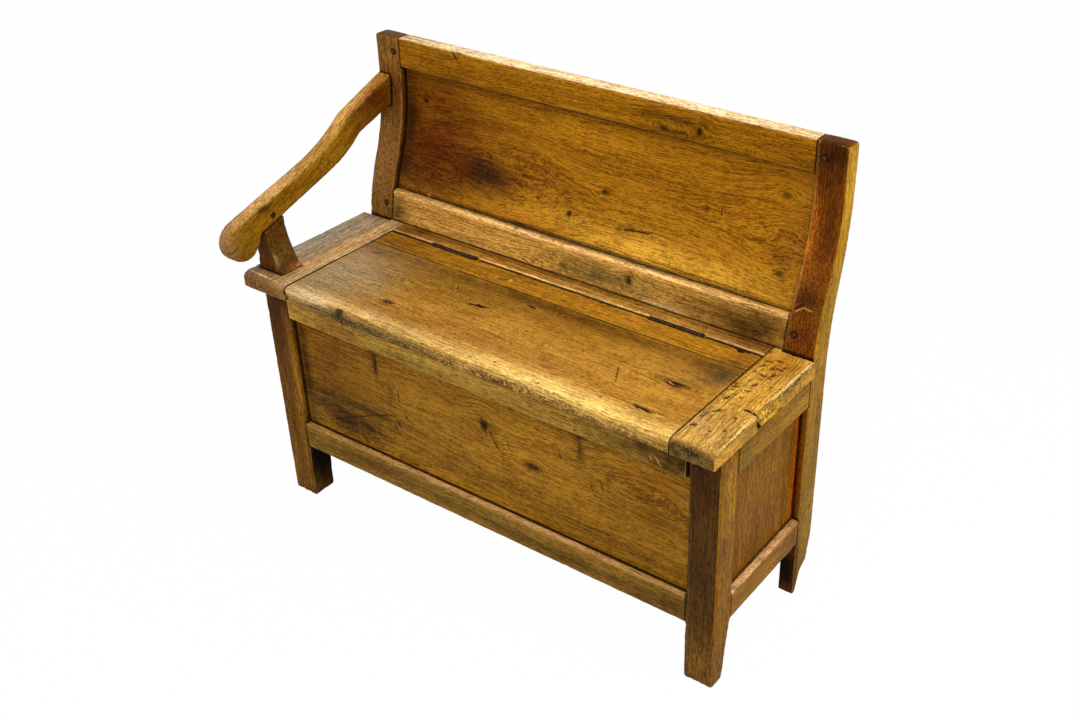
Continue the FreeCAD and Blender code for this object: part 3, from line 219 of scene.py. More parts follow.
FRAME_WOOD = WoodFinish("walnut_frame", linear(216, 164, 92), wear=0.45, polish=0.02, speckle=0.8)
POST_WOOD = WoodFinish("walnut_frame", linear(178, 124, 56), polish=0.02, speckle=1.0, wear=0.4, pits=0.25)
SEAT_WOOD = WoodFinish("walnut_seat", linear(236, 196, 118), roughness=0.38, polish=0.05, speckle=0.75)
CHEST_WOOD = WoodFinish("walnut_seat", linear(236, 196, 118), polish=0.04, speckle=0.9, pits=0.9)
PANEL_WOOD = WoodFinish("walnut_panel", linear(200, 146, 66), polish=0.02, figure=0.45, speckle=0.8,
                        wear=0.25)
RAW_PINE = WoodFinish("pine_inside", linear(206, 172, 122), roughness=0.75, polish=0.0, wear=0.2, pits=0.2)
PEG_WOOD = WoodFinish("oak_peg", linear(120, 92, 58), wear=0.3)
HINGE_IRON = MetalFinish("hinge_iron", linear(70, 52, 34), linear(30, 18, 10), 0.5, 0.6)
SCREW_STEEL = MetalFinish("screw_steel", linear(130, 124, 116), linear(58, 44, 32), 0.45, 0.85)

WAX: Colour = (1.0, 0.72, 0.34)
DARK_FIBRE: Colour = (0.5, 0.42, 0.32)
LIGHT_FIBRE: Colour = (1.42, 1.42, 1.5)
PORE: Colour = (0.3, 0.24, 0.2)


class NodeBuilder:
    """Adds nodes to a tree and joins them, left to right."""

    def __init__(self, tree: bpy.types.NodeTree) -> None:
        """Starts on an existing tree."""
        self.tree = tree

    def add(self, kind: str, inputs: dict | None = None, **settings) -> bpy.types.Node:
        """Adds one node.

        Args:
            kind: The node's type name, without the prefix of a shader's own nodes.
            inputs: Values or sockets for the node's inputs, by name or number.
            **settings: Properties to set on the node.

        Returns:
            The new node.
        """
        own = kind.startswith(("Node", "GeometryNode", "FunctionNode"))
        node = self.tree.nodes.new(kind if own else f"ShaderNode{kind}")
        for name, value in settings.items():
            setattr(node, name, value)
        for key, value in (inputs or {}).items():
            self.feed(node.inputs[key], value)
        return node

    def feed(self, socket: bpy.types.NodeSocket, value: Any) -> None:
        """Links a socket to another, or sets its value.

        Args:
            socket: The input.
            value: The socket that feeds it, or a plain value.
        """
        if isinstance(value, bpy.types.NodeSocket):
            self.tree.links.new(value, socket)
        elif isinstance(value, tuple) and socket.type == "RGBA":
            socket.default_value = (*value, 1.0)
        else:
            socket.default_value = value

    def math(self, operation: str, first: Any, second: Any = 0.0,
             clamp: bool = False) -> bpy.types.NodeSocket:
        """Joins two numbers by one operation and returns the result."""
        return self.add("Math", {0: first, 1: second}, operation=operation, use_clamp=clamp).outputs[0]

    def total(self, first: Any, *others: Any) -> bpy.types.NodeSocket:
        """Adds up numbers.

        Args:
            first: The first number.
            *others: The numbers to add to it.

        Returns:
            The sum.
        """
        for other in others:
            first = self.math("ADD", first, other)
        return first

    def around_zero(self, value: bpy.types.NodeSocket, share: float) -> bpy.types.NodeSocket:
        """Turns a pattern from 0 to 1 into one of a given width around zero."""
        return self.math("MULTIPLY", self.math("SUBTRACT", value, 0.5), share)

    def vector(self, operation: str, first: Any, second: Any) -> bpy.types.NodeSocket:
        """Joins two vectors by one operation and returns the result."""
        return self.add("VectorMath", {0: first, 1: second}, operation=operation).outputs[0]

    def scaled(self, vector: bpy.types.NodeSocket, scale: Point) -> bpy.types.NodeSocket:
        """Stretches a vector by a factor along each axis."""
        return self.vector("MULTIPLY", vector, scale)

    def noise(self, vector: bpy.types.NodeSocket, scale: float, detail: float = 2.0, rough: float = 0.5,
              distortion: float = 0.0) -> bpy.types.NodeSocket:
        """Adds a noise pattern and returns its value."""
        inputs = {"Vector": vector, "Scale": scale, "Detail": detail, "Roughness": rough,
                  "Distortion": distortion}
        return self.add("TexNoise", inputs).outputs["Fac"]

    def band(self, value: bpy.types.NodeSocket, low: float, high: float) -> bpy.types.NodeSocket:
        """Maps the stretch from low to high onto 0 to 1, smoothly."""
        inputs = {"Value": value, "From Min": low, "From Max": high}
        return self.add("MapRange", inputs, interpolation_type="SMOOTHSTEP").outputs["Result"]

    def blend(self, share: Any, first: Any, second: Any, mode: str = "MIX") -> bpy.types.NodeSocket:
        """Mixes two colours.

        Args:
            share: How much of the second colour goes in.
            first: The colour below.
            second: The colour above.
            mode: The way of mixing.

        Returns:
            The mixed colour.
        """
        node = self.add("Mix", data_type="RGBA", blend_type=mode)
        self.feed(node.inputs[0], share)
        self.feed(node.inputs[6], first)
        self.feed(node.inputs[7], second)
        return node.outputs[2]

    def attribute(self, name: str, output: str = "Fac") -> bpy.types.NodeSocket:
        """Reads one of a board's own attributes."""
        return self.add("Attribute", attribute_name=name).outputs[output]

    def finish(self, end: bpy.types.Node, results: dict[str, bpy.types.NodeSocket]) -> None:
        """Feeds a group's output node.

        Args:
            end: The output node.
            results: What feeds each of its sockets, by name.
        """
        for name, value in results.items():
            self.feed(end.inputs[name], value)


class EffectLibrary:
    """The shared node groups, each made once."""

    def __init__(self) -> None:
        """Makes every group."""
        self.figure = self._figure()
        self.wear = self._wear()
        self.pits = self._pits()
        self.knots = self._knots()
        self.line = self._line()

    @staticmethod
    def _group(name: str, inputs: dict[str, str], outputs: dict[str, str]) -> tuple:
        """Starts a node group.

        Args:
            name: The group's name.
            inputs: Socket names and types on the left.
            outputs: Socket names and types on the right.

        Returns:
            The tree, its builder, its input node and its output node.
        """
        tree = bpy.data.node_groups.new(name, "ShaderNodeTree")
        for direction, sockets in (("INPUT", inputs), ("OUTPUT", outputs)):
            for label, kind in sockets.items():
                tree.interface.new_socket(label, in_out=direction, socket_type=f"NodeSocket{kind}")
        build = NodeBuilder(tree)
        return tree, build, build.add("NodeGroupInput"), build.add("NodeGroupOutput")

    def _figure(self) -> bpy.types.NodeTree:
        """Growth bands, fibre streaks and open pores along the grain.

        Returns:
            The group.
        """
        tree, build, start, end = self._group(
            "WoodFigure", {"Grain": "Vector", "Place": "Vector"},
            {"Bands": "Float", "Streaks": "Float", "Speckle": "Float", "Pores": "Float", "Mottle": "Float"})
        grain = start.outputs["Grain"]
        place = start.outputs["Place"]
        bands = build.noise(build.scaled(grain, (3.0, 24.0, 24.0)), 1.0, 3.0, 0.5, 0.6)
        streaks = build.noise(build.scaled(grain, (15.0, 430.0, 430.0)), 1.0, 3.0, 0.6, 0.1)
        speckle = build.noise(build.scaled(grain, (130.0, 740.0, 740.0)), 1.0, 2.0, 0.7)
        pores = build.noise(build.scaled(grain, (45.0, 640.0, 640.0)), 1.0, 2.0, 0.5)
        mottle = build.noise(place, 55.0, 5.0, 0.7, 0.2)
        build.finish(end, {
            "Bands": build.band(bands, 0.3, 0.7),
            "Streaks": build.band(streaks, 0.35, 0.65),
            "Speckle": build.band(speckle, 0.36, 0.64),
            "Pores": build.band(pores, 0.59, 0.65),
            "Mottle": build.band(mottle, 0.33, 0.67),
        })
        return tree

    def _wear(self) -> bpy.types.NodeTree:
        """Where arrises are rubbed bare, and where grime and painted shade darken corners beside other
        pieces, broken up by noise.

        Returns:
            The group.
        """
        tree, build, start, end = self._group(
            "WearGrimeAndShade", {"Place": "Vector", "Edge": "Float", "Dirt_and_shade": "Float", "Crumble": "Float"},
            {"Rubbed": "Float", "Grime_and_shade": "Float", "Rough": "Float", "Flake": "Float"})
        place = start.outputs["Place"]
        patchy = build.noise(place, 38.0, 5.0, 0.65)
        fine = build.noise(place, 280.0, 4.0, 0.65)
        edge = build.total(
            start.outputs["Edge"], build.math("MULTIPLY", patchy, 0.9), build.math("MULTIPLY", fine, 0.5))
        dirt_and_shade = build.total(
            start.outputs["Dirt_and_shade"], build.math("MULTIPLY", patchy, 0.5), build.math("MULTIPLY", fine, 0.4))
        rough = build.band(build.total(fine, build.math("MULTIPLY", patchy, 0.6)), 0.75, 0.9)
        flake = build.band(build.noise(place, 330.0, 3.0, 0.6), 0.54, 0.62)
        build.finish(end, {
            "Rubbed": build.band(edge, 1.15, 1.55),
            "Grime_and_shade": build.band(dirt_and_shade, 0.75, 1.2),
            "Rough": build.math("MULTIPLY", rough, start.outputs["Crumble"]),
            "Flake": build.math("MULTIPLY", flake, start.outputs["Crumble"]),
        })
        return tree

    def _pits(self) -> bpy.types.NodeTree:
        """Worm holes, pricks and small bruises scattered over a board.

        Returns:
            The group.
        """
        tree, build, start, end = self._group(
            "PitsAndBruises", {"Place": "Vector"}, {"Pit": "Float", "Bruise": "Float"})
        place = start.outputs["Place"]
        total = None
        for scale, share in ((62.0, 0.72), (150.0, 0.8)):
            cells = build.add("TexVoronoi", {"Vector": place, "Scale": scale})
            pick = build.add("SeparateColor", {0: cells.outputs["Color"]}).outputs[0]
            hole = build.math("SUBTRACT", 1.0, build.band(cells.outputs["Distance"], 0.04, 0.13))
            hole = build.math("MULTIPLY", hole, build.band(pick, share, share + 0.02))
            total = hole if total is None else build.math("MAXIMUM", total, hole)
        bruises = build.band(build.noise(place, 80.0, 4.0, 0.6, 0.4), 0.58, 0.74)
        build.finish(end, {"Pit": total, "Bruise": bruises})
        return tree

    def _knots(self) -> bpy.types.NodeTree:
        """Rings and a dark heart where the board's knot attribute is high.

        Returns:
            The group.
        """
        tree, build, start, end = self._group("KnotRings", {"Knot": "Float", "Place": "Vector"},
                                              {"Heart": "Float", "Ring": "Float"})
        knot = start.outputs["Knot"]
        rough = build.noise(start.outputs["Place"], 120.0, 3.0, 0.6)
        uneven = build.total(knot, build.around_zero(rough, 0.3))
        rings = build.band(build.math("SINE", build.math("MULTIPLY", uneven, 22.0)), -0.4, 1.0)
        halo = build.math("ADD", build.math("MULTIPLY", rings, 0.35), 0.5)
        ringed = build.math("MULTIPLY", halo, build.band(uneven, 0.04, 0.6))
        build.finish(end, {"Heart": build.band(uneven, 0.5, 0.9), "Ring": ringed})
        return tree

    def _line(self) -> bpy.types.NodeTree:
        """A thin mark from one point to another.

        Returns:
            The group.
        """
        tree, build, start, end = self._group(
            "LineMark", {"Place": "Vector", "Start": "Vector", "Way": "Vector", "Width": "Float"},
            {"Mark": "Float"})
        offset = build.vector("SUBTRACT", start.outputs["Place"], start.outputs["Start"])
        along = build.add("VectorMath", {0: offset, 1: start.outputs["Way"]}, operation="DOT_PRODUCT")
        whole = build.add("VectorMath", {0: start.outputs["Way"], 1: start.outputs["Way"]},
                          operation="DOT_PRODUCT")
        share = build.math("DIVIDE", along.outputs["Value"], whole.outputs["Value"], clamp=True)
        scaled = build.add("VectorMath", {0: start.outputs["Way"], "Scale": share}, operation="SCALE")
        away = build.vector("SUBTRACT", offset, scaled.outputs["Vector"])
        distance = build.add("VectorMath", {0: away}, operation="LENGTH").outputs["Value"]
        taper = build.math("SUBTRACT", 1.25, build.math("ABSOLUTE", build.math("SUBTRACT", share, 0.5)))
        near = build.math("DIVIDE", distance, build.math("MULTIPLY", start.outputs["Width"], taper))
        build.feed(end.inputs["Mark"], build.math("SUBTRACT", 1.0, build.band(near, 0.25, 0.85)))
        return tree


class Workshop:
    """Makes the materials."""

    MOTTLE = 0.22
    WAX_SHEEN = 0.03
    WAX_ROUGHNESS = 0.28
    LINE_WANDER = 0.006

    def __init__(self) -> None:
        """Makes the shared effects."""
        self.effects = EffectLibrary()

    @staticmethod
    def _blank(name: str) -> tuple[bpy.types.Material, NodeBuilder, bpy.types.Node]:
        """A new material with its shader.

        Args:
            name: The material's name.

        Returns:
            The material, a builder on its tree and its Principled shader.
        """
        material = bpy.data.materials.new(name)
        material.use_nodes = True
        return material, NodeBuilder(material.node_tree), material.node_tree.nodes["Principled BSDF"]

    def _use(self, build: NodeBuilder, group: bpy.types.NodeTree, inputs: dict) -> bpy.types.Node:
        """Places a shared group in a material.

        Args:
            build: The material's builder.
            group: The group to place.
            inputs: What feeds it.

        Returns:
            The group node.
        """
        node = build.add("Group")
        node.node_tree = group
        for name, value in inputs.items():
            build.feed(node.inputs[name], value)
        return node

    def wood(self, finish: WoodFinish, lines: tuple[Line, ...] = ()) -> bpy.types.Material:
        """Waxed old wood with figure, knots, rubbed arrises, and grime with painted shade in corners beside
        other pieces.

        Args:
            finish: The gloss, figure and wear.
            lines: Scratches and splits of one board.

        Returns:
            The material.
        """
        material, build, shader = self._blank(finish.name)
        place = build.add("TexCoord").outputs["Object"]
        tint = build.attribute("tint", "Color")
        grain = build.attribute("grain", "Vector")
        figure = self._use(build, self.effects.figure, {"Grain": grain, "Place": place})
        knots = self._use(build, self.effects.knots, {"Knot": build.attribute("knot"), "Place": place})
        marks = {name.capitalize(): build.attribute(name) for name in ("edge", "dirt_and_shade", "crumble")}
        wear = self._use(build, self.effects.wear, {"Place": place, **marks})
        pits = self._use(build, self.effects.pits, {"Place": place})

        dark = build.blend(1.0, tint, DARK_FIBRE, "MULTIPLY")
        light = build.blend(1.0, tint, LIGHT_FIBRE, "MULTIPLY")
        black = build.blend(1.0, tint, PORE, "MULTIPLY")
        share = build.total(*(
            build.around_zero(figure.outputs[name], part)
            for name, part in (("Bands", finish.figure), ("Speckle", finish.speckle),
                               ("Streaks", finish.streaks), ("Mottle", self.MOTTLE))
        ))
        colour = build.blend(build.math("ADD", share, 0.5, clamp=True), dark, light)
        colour = build.blend(build.math("MULTIPLY", figure.outputs["Pores"], 0.75), colour, black)
        colour = build.blend(build.math("MULTIPLY", knots.outputs["Ring"], 0.6), colour, black)
        colour = build.blend(build.math("MULTIPLY", knots.outputs["Heart"], 0.85), colour, finish.grime_and_shade)
        rubbed = build.math("MULTIPLY", wear.outputs["Rubbed"], finish.wear)
        colour = build.blend(rubbed, colour, finish.worn)
        colour = build.blend(build.math("MULTIPLY", wear.outputs["Flake"], 0.7), colour, finish.worn)
        bruise = build.math("MULTIPLY", pits.outputs["Bruise"], finish.pits)
        colour = build.blend(build.math("MULTIPLY", bruise, 0.5), colour, black)
        pit = build.math("MULTIPLY", pits.outputs["Pit"], min(1.0, finish.pits * 1.5))
        pit = build.math("MAXIMUM", pit, wear.outputs["Rough"])
        colour = build.blend(build.math("MULTIPLY", pit, 0.8), colour, finish.grime_and_shade)
        # Grime and painted shade: darkens the wood in corners beside other pieces, where shade falls
        grime_and_shade = build.math("MULTIPLY", wear.outputs["Grime_and_shade"], 0.88)
        colour = build.blend(grime_and_shade, colour, finish.grime_and_shade)
        cut = self._lines(build, place, [line for line in lines if line.strength > 0])
        scrape_and_highlight = self._lines(build, place, [line for line in lines if line.strength < 0])
        if cut is not None:
            colour = build.blend(cut, colour, finish.grime_and_shade)
        # Pale lines: scrapes, and painted highlights along arrises
        if scrape_and_highlight is not None:
            colour = build.blend(scrape_and_highlight, colour, finish.worn)
        build.feed(shader.inputs["Base Color"], colour)

        patchy = build.math("MULTIPLY", figure.outputs["Mottle"], 0.12)
        gloss = build.total(finish.roughness, build.math("MULTIPLY", grime_and_shade, 0.25), patchy)
        build.feed(shader.inputs["Roughness"], gloss)
        shader.inputs["Specular IOR Level"].default_value = self.WAX_SHEEN
        shader.inputs["Specular Tint"].default_value = (*WAX, 1.0)
        shader.inputs["Coat Weight"].default_value = finish.polish
        shader.inputs["Coat Roughness"].default_value = self.WAX_ROUGHNESS
        shader.inputs["Coat Tint"].default_value = (*WAX, 1.0)

        height = build.math("MULTIPLY", figure.outputs["Streaks"], 0.3)
        height = build.math("SUBTRACT", height, build.math("MULTIPLY", figure.outputs["Pores"], 0.6))
        height = build.math("SUBTRACT", height, bruise)
        height = build.math("SUBTRACT", height, build.math("MULTIPLY", pit, 3.0))
        bump = build.add("Bump", {"Height": height, "Distance": 0.0004, "Strength": 0.8})
        build.feed(shader.inputs["Normal"], bump.outputs["Normal"])
        return material

    def _lines(self, build: NodeBuilder, place: bpy.types.NodeSocket,
               lines: list[Line]) -> bpy.types.NodeSocket | None:
        """Adds thin marks, a little unsteady, and joins them.

        Args:
            build: The material's builder.
            place: The place on the board.
            lines: The marks to add.

        Returns:
            How strongly any mark covers the place, or None where there are none.
        """
        if not lines:
            return None
        wander = build.add("TexNoise", {"Vector": place, "Scale": 260.0, "Detail": 2.0}).outputs["Color"]
        wander = build.scaled(build.vector("SUBTRACT", wander, (0.5,) * 3), (self.LINE_WANDER,) * 3)
        unsteady = build.vector("ADD", place, wander)
        total = None
        for line in lines:
            start = bench_point(line.start)
            way = bench_point(line.end) - start
            mark = self._use(build, self.effects.line, {
                "Place": unsteady, "Start": tuple(start), "Way": tuple(way + 1e-5),
                "Width": line.width * MILLIMETRE,
            })
            value = build.math("MULTIPLY", mark.outputs["Mark"], abs(line.strength))
            total = value if total is None else build.math("MAXIMUM", total, value)
        return total

    def metal(self, finish: MetalFinish) -> bpy.types.Material:
        """Old iron or steel, darkened in patches.

        Args:
            finish: The colours and gloss.

        Returns:
            The material.
        """
        material, build, shader = self._blank(finish.name)
        place = build.add("TexCoord").outputs["Object"]
        patchy = build.band(build.noise(place, 210.0, 5.0, 0.65), 0.35, 0.65)
        build.feed(shader.inputs["Base Color"], build.blend(patchy, finish.bare, finish.rust))
        build.feed(shader.inputs["Metallic"],
                   build.math("SUBTRACT", finish.metallic, build.math("MULTIPLY", patchy, 0.6)))
        build.feed(shader.inputs["Roughness"],
                   build.math("ADD", finish.roughness, build.math("MULTIPLY", patchy, 0.3)))
        shader.inputs["Specular IOR Level"].default_value = 0.1
        grit = build.noise(place, 700.0, 3.0)
        bump = build.add("Bump", {"Height": grit, "Distance": 0.0002, "Strength": 0.5})
        build.feed(shader.inputs["Normal"], bump.outputs["Normal"])
        return material


def closeness(points: np.ndarray, at: Point, reach: Point) -> np.ndarray:
    """Falls smoothly from 1 at a bench point to 0 beyond its reach along each axis."""
    offset = (points - bench_point(at)) / (np.array(reach) * MILLIMETRE)
    return np.exp(-np.einsum("ij,ij->i", offset, offset))


class Roughness:
    """Smooth repeatable noise for moving vertices."""

    SIDE = 48
    OFFSET = 1000.0

    def __init__(self, seed: int) -> None:
        """Draws the lattice of random numbers for a seed."""
        self.table = np.random.default_rng(seed).random((self.SIDE,) * 3)

    def at(self, points: np.ndarray, reach: float) -> np.ndarray:
        """Noise from -1 to 1.

        Args:
            points: Places, one row each.
            reach: The size of one bump.

        Returns:
            One number for each place.
        """
        scaled = points / reach + self.OFFSET
        low = np.floor(scaled).astype(int)
        part = scaled - low
        part = part * part * (3 - 2 * part)
        total = np.zeros(len(points))
        for corner in np.ndindex(2, 2, 2):
            index = (low + corner) % self.SIDE
            weight = np.prod(np.where(corner, part, 1 - part), axis=1)
            total += weight * self.table[index[:, 0], index[:, 1], index[:, 2]]
        return total * 2 - 1


@dataclass
class BoardShape:
    """A board's mesh as arrays, while it is being weathered."""

    mesh: bpy.types.Mesh
    points: np.ndarray
    normals: np.ndarray
    edges: np.ndarray
    edge: np.ndarray = field(init=False)

    ARRIS_PASSES = 5
    ARRIS_PERCENTILE = 99.5

    @classmethod
    def from_node(cls, node: bpy.types.Object, voxel: float) -> "BoardShape":
        """Copies a CAD node into an even mesh.

        Args:
            node: The CAD node's object.
            voxel: The size of one face, in metres.

        Returns:
            The board's shape.
        """
        work = bmesh.new()
        work.from_mesh(node.data)
        bmesh.ops.remove_doubles(work, verts=work.verts, dist=MERGE_REACH)
        rough = bpy.data.meshes.new("rough")
        work.to_mesh(rough)
        work.free()
        holder = bpy.data.objects.new("rough", rough)
        bpy.context.scene.collection.objects.link(holder)
        remesh = holder.modifiers.new("even", "REMESH")
        remesh.mode = "VOXEL"
        remesh.voxel_size = voxel
        graph = bpy.context.evaluated_depsgraph_get()
        mesh = bpy.data.meshes.new_from_object(holder.evaluated_get(graph))
        bpy.data.objects.remove(holder)
        bpy.data.meshes.remove(rough)
        return cls.from_mesh(mesh)

    @classmethod
    def from_mesh(cls, mesh: bpy.types.Mesh) -> "BoardShape":
        """Takes over a finished mesh and finds its arrises.

        Args:
            mesh: The mesh.

        Returns:
            The board's shape.
        """
        shape = cls(mesh, *cls._arrays(mesh))
        shape.edge = shape._convexity()
        return shape

    @staticmethod
    def _arrays(mesh: bpy.types.Mesh) -> tuple[np.ndarray, np.ndarray, np.ndarray]:
        """The numbers of a mesh.

        Args:
            mesh: The mesh.

        Returns:
            Its vertices, their normals and its edges.
        """
        count = len(mesh.vertices)
        points = np.empty(count * 3)
        mesh.vertices.foreach_get("co", points)
        normals = np.empty(count * 3)
        mesh.vertices.foreach_get("normal", normals)
        edges = np.empty(len(mesh.edges) * 2, np.int64)
        mesh.edges.foreach_get("vertices", edges)
        return points.reshape(-1, 3), normals.reshape(-1, 3), edges.reshape(-1, 2)

    def smoothed(self, passes: int) -> np.ndarray:
        """Where the vertices go when each pass moves them halfway to their neighbours' middle.

        Args:
            passes: How often they move.

        Returns:
            The moved vertices.
        """
        points = self.points.copy()
        first, second = self.edges.T
        count = len(points)
        degree = np.bincount(first, minlength=count) + np.bincount(second, minlength=count)
        for _ in range(passes):
            for axis in range(3):
                column = points[:, axis]
                total = np.bincount(first, column[second], count)
                total = total + np.bincount(second, column[first], count)
                points[:, axis] = 0.5 * column + 0.5 * total / degree
        return points

    def _convexity(self) -> np.ndarray:
        """How far each vertex stands out as an arris, from -1 in a corner to 1 on an edge."""
        stands = self.standing(self.ARRIS_PASSES)
        return np.clip(stands / max(np.percentile(np.abs(stands), self.ARRIS_PERCENTILE), 1e-9), -1, 1)

    def sink(self, depth: np.ndarray) -> None:
        """Moves the surface inwards by a depth for each vertex, never outwards."""
        self.points -= self.normals * np.maximum(depth, 0)[:, None]

    def standing(self, passes: int) -> np.ndarray:
        """How far each vertex stands out of the smoothed shape."""
        return np.einsum("ij,ij->i", self.points - self.smoothed(passes), self.normals)

    def store(self) -> None:
        """Writes the vertices back into the mesh."""
        self.mesh.vertices.foreach_set("co", self.points.ravel())
        self.mesh.polygons.foreach_set("use_smooth", np.ones(len(self.mesh.polygons), bool))
        self.mesh.update()

    def attach(self, name: str, values: np.ndarray) -> None:
        """Stores a number, a vector or a colour for each vertex.

        Args:
            name: The attribute's name.
            values: One row for each vertex.
        """
        width = values.shape[1] if values.ndim == 2 else 1
        kinds = {1: ("FLOAT", "value"), 3: ("FLOAT_VECTOR", "vector"), 4: ("FLOAT_COLOR", "color")}
        kind, field_name = kinds[width]
        holder = self.mesh.attributes.new(name, kind, "POINT")
        holder.data.foreach_set(field_name, values.astype(np.float32).ravel())


@dataclass(frozen=True)
class Surroundings:
    """What lies close outside each vertex of a board."""

    touching: np.ndarray
    sheltered: np.ndarray

    REACH = 0.02
    JOINT_GAP = 0.0006
    JOINT_FADE = 0.0008
    LOOK_OUT = 0.004
    CORNER_FADE = 0.0028
    CORNER_RISE = 0.002

    @classmethod
    def around(cls, shape: BoardShape, others: BVHTree) -> "Surroundings":
        """Looks from every vertex to the nearest other piece.

        Args:
            shape: The board before it is weathered.
            others: All the other pieces.

        Returns:
            How closely pieces touch, and how deep each vertex sits in a corner beside them.
        """
        touching = np.zeros(len(shape.points))
        sheltered = np.zeros(len(shape.points))
        for index, (point, normal) in enumerate(zip(shape.points, shape.normals)):
            found, _, _, distance = others.find_nearest(Vector(point), cls.REACH)
            if found is None:
                continue
            touching[index] = math.exp(-max(distance - cls.JOINT_GAP, 0) / cls.JOINT_FADE)
            found, _, _, distance = others.find_nearest(Vector(point + normal * cls.LOOK_OUT), cls.REACH)
            if found is None:
                continue
            rise = (np.array(found) - point) @ normal / cls.CORNER_RISE
            sheltered[index] = math.exp(-distance / cls.CORNER_FADE) * min(max(rise, 0), 1)
        return cls(touching, sheltered)


